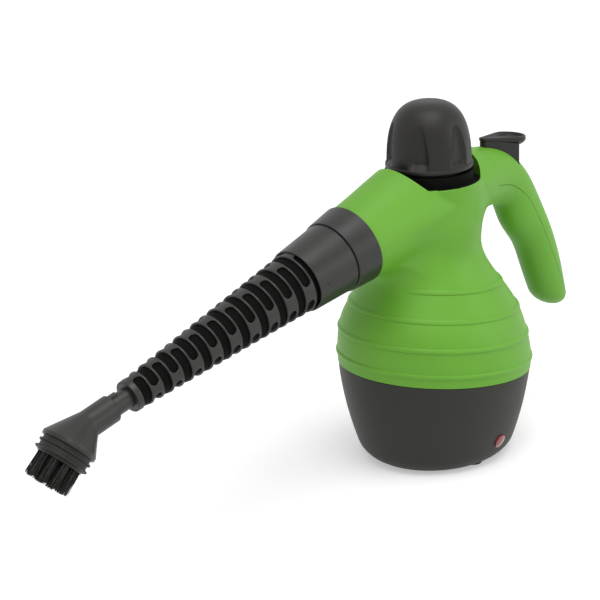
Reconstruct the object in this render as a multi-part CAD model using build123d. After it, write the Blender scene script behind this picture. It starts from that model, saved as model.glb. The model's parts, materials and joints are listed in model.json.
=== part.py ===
"""Handheld steam cleaner: boiler body, open handle, safety cap and slotted steam nozzle with a round brush.

The origin is the centre of the flat base on the table, +Z is up, the nozzle points to -X,
the handle hangs at +X, and Y = 0 is the plane of symmetry. All sizes are in millimetres.
"""
from build123d import *
import math
import os

# Overrun of every cut, gap of a running fit, and gap between pieces that pass each other
over = 1.0
run_gap = 0.05
free_gap = 0.3

# Body: foot, belly and neck half-lengths, their heights, and the width to length ratio
foot_r = 51.5
belly_r = 67.8
neck_r = 35.3
base_h = 63.3
neck_z = 148.0
rim_z = 192.0
depth_share = 0.92
foot_round = 11.0
body_lean = 4.2
seam_tilt_share = 0.075
shell_wall = 2.6
cup_wall = 2.8
cup_floor = 3.0
lip_h = 4.0
lip_wall = 1.6
lip_gap = 0.2
# Height and growth of the cup's sections, then height, growth, lean and width of the belly's
cup_shares = ((0.0, 0.0), (0.19, 0.276), (0.38, 0.51), (0.57, 0.705), (0.76, 0.86), (1.0, 1.0))
belly_shares = ((0.174, 0.985, 0.35, 0.92), (0.315, 0.923, 0.7, 0.92), (0.457, 0.80, 0.95, 0.92),
                (0.575, 0.62, 1.0, 0.92), (0.717, 0.37, 1.15, 0.93), (0.858, 0.132, 1.15, 0.95),
                (1.0, 0.0, 1.05, 0.97))

# Raised ribs round the green shell: height, how far they stand out, places above the seam
rib_h = 3.4
rib_proud = 1.1
rib_rises = (9.2, 26.6, 45.0, 62.6)

# Well for the cap, its floor and wall
cap_x = -2.8
well_r = 31.5
well_wall = 3.0
well_floor_z = 187.5
well_floor_t = 2.5

# Nozzle axis: a point on it, how far it droops, and the nose of the shell along it
nose_x = -12.7
nose_z = 180.3
droop_deg = 14.5
nose_r = 28.0
nose_root_w = 33.0
nose_end_r = 26.3
nose_len = 65.0
nose_front_t = 3.0
# Places along the nose, then how its half-height and half-width pass from root to end
nose_shares = ((0.0, 0.0, 0.0), (0.3, 0.08, 0.3), (0.55, 0.3, 0.57), (0.8, 0.6, 0.8), (1.0, 1.0, 1.0))

# Handle: centre line as places (x, z), its half-thickness and half-width
handle_line = ((20.0, 183.0), (42.0, 182.0), (60.0, 177.5), (75.0, 168.0), (88.2, 150.8),
               (100.5, 130.2), (113.2, 105.5), (125.6, 73.6))
handle_thick = (21.0, 20.0, 17.5, 15.4, 15.1, 15.2, 14.4, 12.2)
handle_width = (20.0, 17.0, 15.2, 14.4, 14.0, 14.0, 13.6, 12.0)
handle_tip_round = 7.5
handle_wall = 2.4
handle_end_share = 2.5
cover_offset = 2.5
cover_gap = 0.25
cover_start = 62.0

# Filler neck and trim ring
neck_bore_r = 12.5
neck_wall = 2.0
neck_top_z = 196.5
neck_root_z = 129.0
neck_flange_r = 16.0
neck_flange_t = 2.5
trim_flange_r = 30.5
trim_flange_t = 3.0
trim_band_r = 26.5
trim_band_wall = 2.2
trim_top_z = 198.8

# Safety cap: dome, finger grooves, threaded plug, seal and the relief valve inside it
cap_rim_r = 27.9
cap_rim_z = 199.4
cap_rim_h = 4.4
cap_top_z = 245.0
cap_wall = 2.4
cap_shoulder_r = 23.8
groove_count = 6
groove_r = 8.5
groove_depth = 2.2
groove_lean_deg = 6.0
hollow_shares = ((1.0, 0.0), (1.0, 0.32), (0.84, 0.6), (0.5, 0.79), (0.0, 0.83))
plug_bottom_z = 176.0
plug_seat_t = 3.0
plug_bore_r = 5.0
plug_flange_z = 198.0
plug_flange_t = 3.0
plug_flange_r = 23.6
seal_t = 1.4
relief_hole_r = 2.0
relief_disc_r = 4.6
relief_disc_t = 3.0
relief_stem_r = 1.6
relief_travel = 1.5
relief_keeper_t = 3.0

# Boiler: two aluminium halves with a bolted flange and a gasket
boiler_r = 44.0
boiler_wall = 2.5
boiler_bottom_z = 24.0
boiler_bottom_t = 5.0
boiler_joint_z = 76.0
boiler_flange_r = 50.5
boiler_flange_t = 4.0
gasket_t = 1.2
boiler_shoulder_z = 100.0
boiler_top_z = 135.0
boiler_top_r = 24.0
boiler_top_t = 3.0
boiler_round = 3.0
bolt_count = 6
bolt_ring_r = 47.2
bolt_r = 1.65
bolt_hole_r = 1.75
bolt_head_r = 2.9
bolt_head_t = 2.4

# Posts, screws and pads of the base
post_count = 3
post_ring_r = 36.0
post_r = 5.5
base_screw_r = 1.75
base_screw_hole_r = 1.8
base_screw_head_r = 3.6
base_screw_head_t = 2.6
base_screw_recess = 1.4
base_screw_bite = 4.0
pad_r = 6.0
pad_t = 1.5

# Heating element, thermostat, fuse and terminal block under the boiler
element_ring_r = 26.0
element_r = 4.0
element_sink = 0.5
element_gap_deg = 60.0
element_leg = 8.5
element_pin_r = 2.4
element_pin_deg = 8.0
thermostat_r = 8.0
thermostat_t = 5.0
fuse_l = 16.0
fuse_w = 5.0
fuse_h = 4.0
fuse_y = 14.0
terminal_l = 28.0
terminal_w = 16.0
terminal_h = 11.0

# Cord inlet at the back of the base
inlet_z = 24.0
inlet_boss_r = 9.0
inlet_boss_x = 63.0
inlet_depth = 12.0
gland_r = 5.5
gland_bore_r = 3.4
gland_flange_r = 7.5
gland_flange_t = 2.2

# Indicator lens low on the side of the base, and the lamp behind it
lens_x = 5.0
lens_y = -53.6
lens_z = 17.2
lens_turn_deg = 5.0
lens_tilt_deg = 19.0
lens_r = 4.75
lens_depth = 4.0
lens_dome = 0.8
lens_recess_r = 5.7
lens_recess = 0.8
lamp_r = 2.6
lamp_l = 9.0

# Steam valve behind the filler neck, worked by a lever under the thumb button
valve_x = 20.4
valve_r = 7.0
valve_base_z = 138.0
valve_top_z = 164.0
valve_floor_t = 5.0
valve_bore_r = 5.0
valve_inlet_r = 2.0
bonnet_plug_l = 6.0
bonnet_flange_t = 3.0
poppet_r = 4.4
poppet_t = 3.0
stem_r = 1.5
stem_head_r = 3.2
stem_head_t = 2.0
lever_z = 176.85
lever_t = 2.7
lever_w = 8.0
lever_pivot_x = 46.0
lever_rear_x = 74.0
lever_boss_r = 4.0
pin_r = 1.5
pin_half = 12.0
port_r = 3.5
port_z = 150.0
port_reach = 12.0
port_turn_deg = 240.0

# Thumb button: pivot at its front, stem in the slot of the handle, and the dished plate
button_pivot_x = 54.0
button_pivot_z = 190.0
button_front_x = 50.0
button_rear_x = 78.0
button_half_w = 6.0
button_boss_r = 3.4
foot_front_x = 66.0
foot_rear_x = 74.0
button_slot_gap = 0.9
plate_tip_x = 51.0
plate_tip_r = 3.2
plate_rear_x = 77.6
plate_rear_r = 11.0
plate_tip_z = 208.4
plate_rear_z = 203.6
plate_tip_t = 3.4
plate_rear_t = 5.2
dish_margin = 1.8
dish_tip_depth = 0.5
dish_rear_depth = 2.0

# Coil springs: mean radius and wire of each
button_spring_x = 64.0
button_spring_r = 3.0
button_spring_wire = 0.35
button_spring_seat_z = 164.0
button_spring_turns = 6
valve_spring_r = 3.1
valve_spring_wire = 0.4
valve_spring_turns = 6
relief_spring_r = 3.3
relief_spring_wire = 0.4
relief_spring_turns = 6
spring_end_gap = 0.15

# Spout tube and collar on the nose, placed along the nozzle axis from the nose's front
spout_back = nose_len - 29.0
spout_front = nose_len + 31.0
spout_r = 9.0
spout_bore_r = 3.2
spout_flange_r = 20.0
spout_flange_t = 3.5
oring_at = nose_len + 23.0
oring_w = 2.0
oring_depth = 1.0
collar_back_r = 26.4
collar_front_r = 24.4
collar_len = 18.6
collar_back_t = 3.0
collar_bore_r = 22.2
lug_count = 2
lug_at = nose_len + 7.8
lug_l = 3.4
lug_w = 6.0
lug_r = 22.9
lug_groove_r = 23.2
lug_groove_l = 5.0
lug_turn_deg = 45.0

# Nozzle: plain sleeve, slotted cone, inner core and tip
spigot_back = nose_len + 4.0
spigot_r = 21.9
sleeve_wall = 2.4
sleeve_back_r = 23.5
sleeve_front_r = 21.4
sleeve_front = nose_len + 41.0
cone_back_r = 20.8
cone_front_r = 10.0
cone_front = sleeve_front + 150.0
cone_wall = 2.2
cone_end_t = 3.0
slot_count = 10
slot_first = sleeve_front + 8.8
slot_pitch = 14.9
slot_w = 5.8
side_slot_deg = 78.0
top_slot_deg = 52.0
core_back = nose_len + 17.0
core_flange_r = 19.4
core_flange_t = 4.0
core_gap = 0.35
core_bore_r = 2.6
core_wall = 3.0
tip_r = 6.3
tip_bore_r = 2.0
tip_front = cone_front + 33.0
key_w = 3.2
key_h = 1.2
key_back = cone_front + 7.0
key_front = key_back + 8.0
mark_r = 1.3
mark_at = sleeve_front - 10.0

# Brush: socket, bent funnel, rubber fins and bristles
socket_back = cone_front + 12.5
socket_r = 8.5
funnel_back = socket_back + 17.5
bend_at = funnel_back + 8.6
bend_deg = 30.0
rim_at = 11.0
rim_t = 2.4
rim_r = 17.4
hub_r = 14.2
hub_front = 21.0
fin_sleeve_t = 1.0
fin_places = (16.6, 20.3)
fin_radii = (16.6, 16.9)
fin_t = 1.3
backing_t = 1.2
bristle_tip = 36.5
tuft_rings = ((5.4, 6), (10.5, 12))
strand_rings = ((0.0, 1), (0.78, 6), (1.56, 12))
strand_w = 0.52
strand_root = 0.6
strand_step = 0.35
steam_hole_r = 2.4

# Hose from the valve to the spout tube
hose_r = 3.2
hose_bore_r = 2.0
hose_straight = 14.0
hose_points = ((7.4, -22.5, 150.0), (-6.0, -25.0, 156.0), (-22.0, -16.0, 165.0))
hose_bend_share = 0.45

nozzle_frame = Plane(origin=(nose_x, 0, nose_z),
                     x_dir=(-math.sin(math.radians(droop_deg)), 0, math.cos(math.radians(droop_deg))),
                     z_dir=(-math.cos(math.radians(droop_deg)), 0, -math.sin(math.radians(droop_deg))))
brush_frame = Plane(origin=(0, 0, bend_at),
                    x_dir=(math.cos(math.radians(bend_deg)), 0, math.sin(math.radians(bend_deg))),
                    z_dir=(-math.sin(math.radians(bend_deg)), 0, math.cos(math.radians(bend_deg))))
lens_frame = (Plane(origin=(lens_x, lens_y, lens_z), x_dir=(1, 0, 0), z_dir=(0, -1, 0)).location
              * Rot(0, lens_turn_deg, 0) * Rot(lens_tilt_deg, 0, 0))
port_way = Rot(0, 0, port_turn_deg) * Pos(1, 0, 0)
port_frame = Plane(origin=(valve_x, 0, port_z), x_dir=(0, 0, 1), z_dir=tuple(port_way.position))
element_z = boiler_bottom_z + element_sink - element_r
tall = cap_top_z + over
wide = handle_line[-1][0] + belly_r


def rod(radius, low, high, x=0.0, y=0.0):
    """A cylinder along Z from one height to another."""
    return Pos(x, y, (low + high) / 2) * Cylinder(radius, high - low)


def block(x, y, z):
    """A box from its low and high coordinates."""
    middle = [(pair[0] + pair[1]) / 2 for pair in (x, y, z)]
    return Pos(*middle) * Box(x[1] - x[0], y[1] - y[0], z[1] - z[0])


def cross_rod(radius, half, x, z):
    """A cylinder along Y, centred on the plane of symmetry."""
    return Pos(x, 0, z) * Rot(90, 0, 0) * Cylinder(radius, 2 * half)


def turned(points):
    """A solid turned about Z from (radius, height) points."""
    return revolve(Plane.XZ * make_face(Polyline(*points, close=True)), Axis.Z)


def side_plate(points, half):
    """A plate of an (x, z) outline, centred on the plane of symmetry."""
    return extrude(Plane.XZ * make_face(Polyline(*points, close=True)), half, both=True)


def around(count, radius, start_deg=0.0):
    """Places on a circle about Z."""
    return [Rot(0, 0, start_deg + index * 360 / count) * Pos(radius, 0, 0) for index in range(count)]


def between(low, high, share):
    return low + (high - low) * share


def coil(radius, wire, turns, low, high, x=0.0):
    """A compression spring about Z, between two heights."""
    rise = high - low - 2 * wire
    path = Pos(x, 0, low + wire) * Helix(rise / turns, rise, radius)
    section = Plane(origin=path @ 0, z_dir=path % 0) * Circle(wire)
    return sweep(section, path=path, is_frenet=True)


def body_sections(inset):
    """The body's elliptic sections, from foot to rim, each drawn in by a wall."""
    rows = []
    for rise, growth in cup_shares:
        half = between(foot_r, belly_r, growth)
        rows.append((base_h * rise, half, half * depth_share, 0.0))
    for rise, growth, lean, width in belly_shares:
        half = between(neck_r, belly_r, growth)
        rows.append((between(base_h, neck_z, rise), half, half * width, -body_lean * lean))
    head_r = well_r + well_wall
    rows.append((between(neck_z, rim_z, 0.3), neck_r, neck_r, -body_lean))
    rows.append((between(neck_z, rim_z, 0.65), head_r, head_r, cap_x))
    rows.append((rim_z, head_r, head_r, cap_x))
    return [Pos(lean, 0, z) * Ellipse(a - inset, b - inset) for z, a, b, lean in rows]


def body_loft(inset=0.0):
    return loft(body_sections(inset))


def above_seam(rise, height):
    """A slab between two planes that rise towards the nozzle as the seam does."""
    tilt = math.degrees(math.atan(seam_tilt_share))
    slab = Pos(0, 0, height / 2) * Box(2 * wide, 2 * wide, height)
    return Pos(0, 0, base_h + rise) * Rot(0, tilt, 0) * slab


def nose_loft(inset=0.0):
    """The nose of the shell, along the nozzle axis."""
    sections = []
    for place, height, width in nose_shares:
        high = between(nose_r, nose_end_r, height)
        broad = between(nose_root_w, nose_end_r, width)
        sections.append(Pos(0, 0, place * nose_len) * Ellipse(high - inset, broad - inset))
    return nozzle_frame.location * loft(sections)


def handle_planes():
    """A plane across the handle at each point of its centre line, with X towards the back of the hand."""
    line = Spline(*[(x, 0, z) for x, z in handle_line])
    planes = []
    for x, z in handle_line:
        along = line % line.param_at_point((x, 0, z))
        planes.append(Plane(origin=(x, 0, z), x_dir=(-along.Z, 0, along.X), z_dir=(along.X, 0, along.Z)))
    return planes


def handle_loft(inset=0.0):
    """The open handle, or its inside, with a flat end."""
    planes = handle_planes()
    planes[-1] = planes[-1].offset(-handle_end_share * inset)
    return loft([plane * Ellipse(thick - inset, width - inset)
                 for plane, thick, width in zip(planes, handle_thick, handle_width)])


def handle_solid():
    """The open handle with its round tip."""
    handle = handle_loft()
    end = handle.faces().sort_by(Axis.Z)[0]
    return fillet(end.edges(), handle_tip_round)


def cover_prism(gap=0.0):
    """Everything on the outer side of the handle's side seam."""
    planes = handle_planes()[3:]
    seam = [plane.origin + plane.x_dir * (cover_offset + gap) for plane in planes]
    last = planes[-1]
    seam.append(last.origin + last.x_dir * (cover_offset + gap) + last.z_dir * handle_thick[-1] * 2)
    first = Vector(cover_start + gap, 0, seam[0].Z + handle_thick[3] / 3)
    outside = [point + planes[0].x_dir * 2 * handle_thick[3] for point in (seam[-1], first)]
    edge = Spline(first, *seam) + Polyline(seam[-1], *outside, first)
    return extrude(make_face(edge), wide, both=True)


def split_handle():
    """The handle's two solids: what stays on the shell, and the cover of its back."""
    outer = handle_solid()
    cavity = handle_loft(handle_wall)
    cover = (outer & cover_prism(cover_gap)) - cavity
    return outer - cover_prism(), cavity, cover


def cup_solid():
    """The dark cup below the seam, with its rounded foot."""
    whole = body_loft() - above_seam(0.0, tall)
    foot = whole.faces().sort_by(Axis.Z)[0]
    return fillet(foot.edges(), foot_round)


def post_places():
    return [Pos(cap_x, 0, 0) * place for place in around(post_count, post_ring_r, 90)]


def base_cup():
    """The dark cup: floor, posts, cord boss, lens seat and the lip that locates the green shell."""
    low = above_seam(-tall, tall - lip_h)
    lip = body_loft(cup_wall + lip_gap) & above_seam(-lip_h, 2 * lip_h)
    inside = rod(wide, cup_floor, tall)
    cup = cup_solid() + lip - (body_loft(cup_wall) & low & inside)
    cup -= body_loft(cup_wall + lip_gap + lip_wall) & inside
    cup += [place * rod(post_r, 0, boiler_bottom_z) for place in post_places()]
    cup += Pos(inlet_boss_x - inlet_depth, 0, inlet_z) * Rot(0, 90, 0) * rod(inlet_boss_r, 0, inlet_depth)
    holes = [Pos(0, 0, inlet_z) * Rot(0, 90, 0) * rod(gland_r, 0, wide)]
    for place in post_places():
        holes.append(place * rod(base_screw_hole_r, -over, boiler_bottom_z + over))
        holes.append(place * rod(base_screw_head_r + free_gap, -over, base_screw_recess + base_screw_head_t))
    holes += [place * rod(pad_r, -over, pad_t) for place in pad_places()]
    holes.append(lens_frame * rod(lens_r, -2 * lens_depth, lens_depth))
    holes.append(lens_frame * rod(lens_recess_r, -lens_recess, lens_depth))
    return cup - holes


def pad_places():
    return [Pos(cap_x, 0, 0) * place for place in around(post_count, post_ring_r, 30)]


def slot_block(gap=0.0):
    """The way of the button's stem through the top of the handle."""
    half = button_half_w + gap / 2
    return block((button_front_x - gap, button_rear_x + gap), (-half, half),
                 (lever_z + lever_t, plate_rear_z))


def pin_bosses(core, radius, gap, x, z):
    """Two bosses inside the handle's walls, with room between them for what turns on their pin."""
    boss = cross_rod(radius, wide, x, z) & core
    return boss - block((x - 2 * radius, x + 2 * radius), (-gap, gap), (z - 2 * radius, z + 2 * radius))


def shell_cavities(handle_cavity):
    """The insides of the belly, nose and handle, which stop at the wall and floor of the well."""
    well_low = well_floor_z - well_floor_t
    well = rod(well_r + well_wall, well_low, tall, cap_x)
    nose_end = nozzle_frame.location * rod(nose_root_w, nose_len - nose_front_t, nose_len + over)
    return [body_loft(shell_wall) - rod(wide, well_low, tall),
            nose_loft(shell_wall) - [nose_end, well],
            handle_cavity - well]


def body_shell():
    """The green upper shell: belly, nose, well and handle in one moulding."""
    handle, handle_cavity, _ = split_handle()
    ribbed = body_loft(-rib_proud)
    shell = (body_loft() & above_seam(0.0, tall)) + [ribbed & above_seam(rise, rib_h) for rise in rib_rises]
    shell = shell + [nose_loft(), handle]
    shell -= shell_cavities(handle_cavity)
    core = handle_loft(handle_wall / 2)
    seat_low = button_spring_seat_z - handle_thick[2]
    seat = rod(button_spring_r + over, seat_low, button_spring_seat_z, button_spring_x)
    shell += [pin_bosses(core, lever_boss_r, lever_w / 2 + free_gap, lever_pivot_x, lever_z),
              pin_bosses(core, button_boss_r, button_half_w + free_gap, button_pivot_x, button_pivot_z),
              seat & core]
    cuts = [rod(well_r, well_floor_z, tall, cap_x),
            rod(neck_bore_r + neck_wall + free_gap, well_floor_z - well_floor_t - over, tall, cap_x),
            nozzle_frame.location * rod(spout_r + free_gap, nose_len / 2, nose_len + over),
            slot_block(button_slot_gap),
            cross_rod(pin_r, pin_half, lever_pivot_x, lever_z),
            cross_rod(pin_r, pin_half, button_pivot_x, button_pivot_z)]
    return shell - cuts


def handle_cover():
    """Cover of the handle's back, with its share of the slot for the button."""
    return split_handle()[2] - slot_block(button_slot_gap)


def foot_pads():
    """Rubber pads let into the base, flush with it."""
    return [place * rod(pad_r, 0, pad_t) for place in pad_places()]


def base_screws():
    """Screws from below, through the posts into the boiler."""
    head_top = base_screw_recess + base_screw_head_t
    screw = rod(base_screw_head_r, base_screw_recess, head_top)
    screw += rod(base_screw_r, base_screw_recess, boiler_bottom_z + base_screw_bite)
    screw -= rod(base_screw_r / 2, 0, base_screw_recess + base_screw_head_t / 2)
    return [place * screw for place in post_places()]


def cord_gland():
    """Rubber bush of the cord inlet; the cord itself is left out."""
    bush = rod(gland_r, -gland_flange_t, inlet_depth + gland_flange_t)
    bush += rod(gland_flange_r, inlet_depth, inlet_depth + gland_flange_t)
    bush += rod(gland_r + over, -gland_flange_t, 0) - rod(gland_bore_r, -2 * gland_flange_t, over)
    bush -= rod(gland_bore_r, -2 * gland_flange_t, 2 * inlet_depth)
    return Pos(inlet_boss_x - inlet_depth, 0, inlet_z) * Rot(0, 90, 0) * bush


def indicator_lens():
    lens = rod(lens_r, -lens_depth, 0)
    ball_r = (lens_r ** 2 + lens_dome ** 2) / (2 * lens_dome)
    lens += (Pos(0, 0, lens_dome - ball_r) * Sphere(ball_r)) & rod(lens_r, 0, 2 * lens_dome)
    return lens_frame * lens


def indicator_lamp():
    return lens_frame * rod(lamp_r, -lens_depth - lamp_l, -lens_depth)


def boiler_lower():
    """Lower half of the boiler: thick heated floor, straight wall and bolting flange."""
    inner = boiler_r - boiler_wall
    bottom = boiler_bottom_z
    under = boiler_joint_z - boiler_flange_t
    half = turned(((0, bottom), (boiler_r - boiler_round, bottom), (boiler_r, bottom + boiler_round),
                   (boiler_r, under), (boiler_flange_r, under),
                   (boiler_flange_r, boiler_joint_z), (inner, boiler_joint_z),
                   (inner, bottom + boiler_bottom_t + boiler_round),
                   (inner - boiler_round, bottom + boiler_bottom_t), (0, bottom + boiler_bottom_t)))
    half -= [place * rod(bolt_hole_r, boiler_joint_z - 2 * boiler_flange_t, boiler_joint_z + over)
             for place in around(bolt_count, bolt_ring_r)]
    half = Pos(cap_x, 0, 0) * half
    half -= [place * rod(base_screw_hole_r, 0, bottom + base_screw_bite) for place in post_places()]
    return half - element_ring()


def element_ring():
    """The open ring of the tubular heater."""
    ring = revolve(Pos(element_ring_r, 0, 0) * (Plane.XZ * Circle(element_r)), Axis.Z, 360 - element_gap_deg)
    return Pos(cap_x, 0, element_z) * Rot(0, 0, element_gap_deg / 2) * ring


def heating_element():
    """Tubular heater pressed into the boiler's floor, with its two terminal pins."""
    pin = Pos(element_ring_r, 0, 0) * rod(element_pin_r, -element_leg, 0)
    turn = element_gap_deg / 2 + element_pin_deg
    return element_ring() + [Pos(cap_x, 0, element_z) * Rot(0, 0, side * turn) * pin for side in (-1, 1)]


def boiler_upper():
    """Upper half of the boiler: flange, dome, filler opening and the seat of the valve."""
    low = boiler_joint_z + gasket_t
    high = low + boiler_flange_t
    inner = boiler_r - boiler_wall
    under = boiler_top_z - boiler_top_t
    middle_z = between(boiler_shoulder_z, boiler_top_z, 0.57)
    middle_r = between(boiler_r, boiler_top_r, 0.5)
    half = turned(((boiler_flange_r, low), (boiler_flange_r, high), (boiler_r, high),
                   (boiler_r, boiler_shoulder_z), (middle_r, middle_z), (boiler_top_r, boiler_top_z),
                   (neck_bore_r + neck_wall, boiler_top_z), (neck_bore_r + neck_wall, under),
                   (boiler_top_r - boiler_wall, under), (middle_r - boiler_wall, middle_z - boiler_wall / 2),
                   (inner, boiler_shoulder_z - boiler_wall / 2), (inner, low)))
    half -= [place * rod(bolt_hole_r, low - over, high + over) for place in around(bolt_count, bolt_ring_r)]
    half = Pos(cap_x, 0, 0) * half
    half += rod(valve_r, under - boiler_top_t, valve_base_z, valve_x) - rod(
        neck_flange_r + free_gap, under - tall, tall, cap_x)
    return half - rod(valve_inlet_r, under - 2 * valve_r, tall, valve_x)


def boiler_gasket():
    ring = rod(boiler_flange_r, boiler_joint_z, boiler_joint_z + gasket_t)
    ring -= rod(boiler_r - boiler_wall, 0, tall)
    ring -= [place * rod(bolt_hole_r, 0, tall) for place in around(bolt_count, bolt_ring_r)]
    return Pos(cap_x, 0, 0) * ring


def boiler_bolts():
    """Bolts with their nuts, round the boiler's flange."""
    low = boiler_joint_z - boiler_flange_t
    high = boiler_joint_z + gasket_t + boiler_flange_t
    bolt = rod(bolt_r, low - bolt_head_t, high) + rod(bolt_head_r, high, high + bolt_head_t)
    bolt += Pos(0, 0, low - bolt_head_t) * extrude(RegularPolygon(bolt_head_r, 6), bolt_head_t)
    return [Pos(cap_x, 0, 0) * place * bolt for place in around(bolt_count, bolt_ring_r)]


def thermostat():
    body = rod(thermostat_r, boiler_bottom_z - thermostat_t, boiler_bottom_z)
    low = boiler_bottom_z - thermostat_t
    for side in (-1, 1):
        tab_y = side * thermostat_r / 2
        body += block((-thermostat_r / 3, thermostat_r / 3), (tab_y, tab_y + over),
                      (low - thermostat_t / 2, low))
    return Pos(cap_x, 0, 0) * body


def thermal_fuse():
    low = boiler_bottom_z - fuse_h
    fuse = block((cap_x - fuse_l / 2, cap_x + fuse_l / 2), (fuse_y - fuse_w / 2, fuse_y + fuse_w / 2),
                 (low, boiler_bottom_z))
    return chamfer(fuse.edges().filter_by(Axis.X), fuse_h / 5)


def terminal_block():
    """Terminal block on the floor of the base, with its screw pockets."""
    box = block((-terminal_l / 2, terminal_l / 2), (-terminal_w / 2, terminal_w / 2),
                (cup_floor, cup_floor + terminal_h))
    pocket_low = cup_floor + terminal_h / 2
    pockets = [rod(terminal_w / 8, pocket_low, tall, side * terminal_l / 3, deep * terminal_w / 4)
               for side in (-1, 0, 1) for deep in (-1, 1)]
    return box - pockets


def filler_neck():
    """Brass neck that water is poured through, standing in the boiler's top."""
    outer = neck_bore_r + neck_wall
    return Pos(cap_x, 0, 0) * turned((
        (neck_bore_r, neck_root_z), (outer, neck_root_z), (outer, boiler_top_z),
        (neck_flange_r, boiler_top_z), (neck_flange_r, boiler_top_z + neck_flange_t),
        (outer, boiler_top_z + neck_flange_t),
        (outer, neck_top_z), (neck_bore_r, neck_top_z)))


def neck_trim_ring():
    """Black ring in the well, round the filler neck."""
    inner = neck_bore_r + neck_wall + run_gap
    floor = well_floor_z
    step = floor + trim_flange_t
    band = trim_band_r - trim_band_wall
    return Pos(cap_x, 0, 0) * turned((
        (inner, floor), (trim_flange_r, floor), (trim_flange_r, step - over / 2),
        (trim_flange_r - over / 2, step), (trim_band_r, step), (trim_band_r, trim_top_z),
        (band, trim_top_z), (band, step), (inner, step)))


def cap_outline():
    """Half outline of the dome, from the rim's foot to the top of the axis."""
    low = cap_rim_z
    shoulder_z = between(low, cap_top_z, 0.62)
    edges = Polyline((0, low), (cap_rim_r - over / 2, low), (cap_rim_r, low + over / 2),
                     (cap_rim_r, low + cap_rim_h))
    crown = Spline((cap_rim_r - over / 2, low + cap_rim_h), (between(cap_shoulder_r, cap_rim_r, 0.6),
                   between(low + cap_rim_h, shoulder_z, 0.62)), (cap_shoulder_r, shoulder_z),
                   (cap_shoulder_r * 0.78, between(shoulder_z, cap_top_z, 0.62)),
                   (cap_shoulder_r * 0.4, between(shoulder_z, cap_top_z, 0.94)), (0, cap_top_z),
                   tangents=((0, 1), (-1, 0)))
    step = Line((cap_rim_r, low + cap_rim_h), (cap_rim_r - over / 2, low + cap_rim_h))
    return edges + step + crown + Line((0, cap_top_z), (0, low))


def cap_dome():
    """Dome of the safety cap, with finger grooves round its side."""
    dome = revolve(Plane.XZ * make_face(cap_outline()), Axis.Z)
    high = between(cap_rim_z, cap_top_z, 0.46)
    low = cap_rim_z + cap_rim_h + over / 2
    finger = rod(groove_r, low, high) + Pos(0, 0, high) * Sphere(groove_r)
    lean = Pos(0, 0, low) * Rot(0, -groove_lean_deg, 0) * Pos(0, 0, -low)
    dome -= [place * lean * finger for place in around(groove_count, cap_rim_r + groove_r - groove_depth, 30)]
    inner = cap_rim_r - cap_wall - groove_depth - over
    under = plug_flange_z + plug_flange_t
    hollow = [(inner * share, between(under, cap_top_z, rise)) for share, rise in hollow_shares]
    dome -= turned([(0, under)] + hollow)
    dome -= rod(plug_flange_r, cap_rim_z - over, under)
    return Pos(cap_x, 0, 0) * dome


def cap_plug():
    """Threaded plug of the cap, drawn plain, with the seat of the relief valve in its foot."""
    plug_r = neck_bore_r - run_gap
    top = plug_flange_z + plug_flange_t
    return Pos(cap_x, 0, 0) * turned((
        (relief_hole_r, plug_bottom_z), (plug_r - over, plug_bottom_z), (plug_r, plug_bottom_z + over),
        (plug_r, plug_flange_z), (plug_flange_r, plug_flange_z), (plug_flange_r, top), (plug_bore_r, top),
        (plug_bore_r, plug_bottom_z + plug_seat_t), (relief_hole_r, plug_bottom_z + plug_seat_t)))


def cap_seal():
    """Silicone ring between the cap's flange and the top of the neck."""
    low = plug_flange_z - seal_t - run_gap
    ring = rod(neck_bore_r + neck_wall, low, plug_flange_z - run_gap)
    return Pos(cap_x, 0, 0) * (ring - rod(neck_bore_r + run_gap, low - over, tall))


def relief_piston():
    """Disc and guide stem of the relief valve."""
    seat = plug_bottom_z + plug_seat_t + run_gap
    top = plug_flange_z + plug_flange_t - relief_keeper_t - relief_travel - free_gap
    return Pos(cap_x, 0, 0) * (rod(relief_disc_r, seat, seat + relief_disc_t) + rod(relief_stem_r, seat, top))


def relief_keeper():
    """Ring that holds the relief spring down in the plug."""
    top = plug_flange_z + plug_flange_t
    ring = rod(plug_bore_r, top - relief_keeper_t, top) - rod(relief_hole_r, 0, tall)
    return Pos(cap_x, 0, 0) * ring


def relief_spring():
    low = plug_bottom_z + plug_seat_t + run_gap + relief_disc_t + spring_end_gap
    high = plug_flange_z + plug_flange_t - relief_keeper_t - spring_end_gap
    return coil(relief_spring_r, relief_spring_wire, relief_spring_turns, low, high, cap_x)


def valve_block():
    """Steam valve on the boiler's top: inlet below, chamber, and a side port for the hose."""
    body = rod(valve_r, valve_base_z, valve_top_z, valve_x)
    body -= rod(valve_bore_r, valve_base_z + valve_floor_t, tall, valve_x)
    body -= rod(valve_inlet_r, 0, tall, valve_x)
    body += port_frame.location * rod(port_r, valve_bore_r + over / 2, port_reach)
    return body - port_frame.location * rod(hose_bore_r, 0, tall)


def valve_bonnet():
    """Plug that closes the valve's chamber and guides its stem."""
    top = rod(valve_bore_r, valve_top_z - bonnet_plug_l, valve_top_z, valve_x)
    top += rod(valve_r, valve_top_z, valve_top_z + bonnet_flange_t, valve_x)
    return top - rod(stem_r + run_gap, 0, tall, valve_x)


def valve_stem():
    """Poppet, stem and the head that the lever's fork lifts."""
    low = valve_base_z + valve_floor_t + free_gap
    head = lever_z + lever_t / 2 + free_gap
    stem = rod(poppet_r, low, low + poppet_t, valve_x) + rod(stem_r, low, head, valve_x)
    return stem + rod(stem_head_r, head, head + stem_head_t, valve_x)


def valve_spring():
    low = valve_base_z + valve_floor_t + free_gap + poppet_t + spring_end_gap
    high = valve_top_z - bonnet_plug_l - spring_end_gap
    return coil(valve_spring_r, valve_spring_wire, valve_spring_turns, low, high, valve_x)


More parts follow.
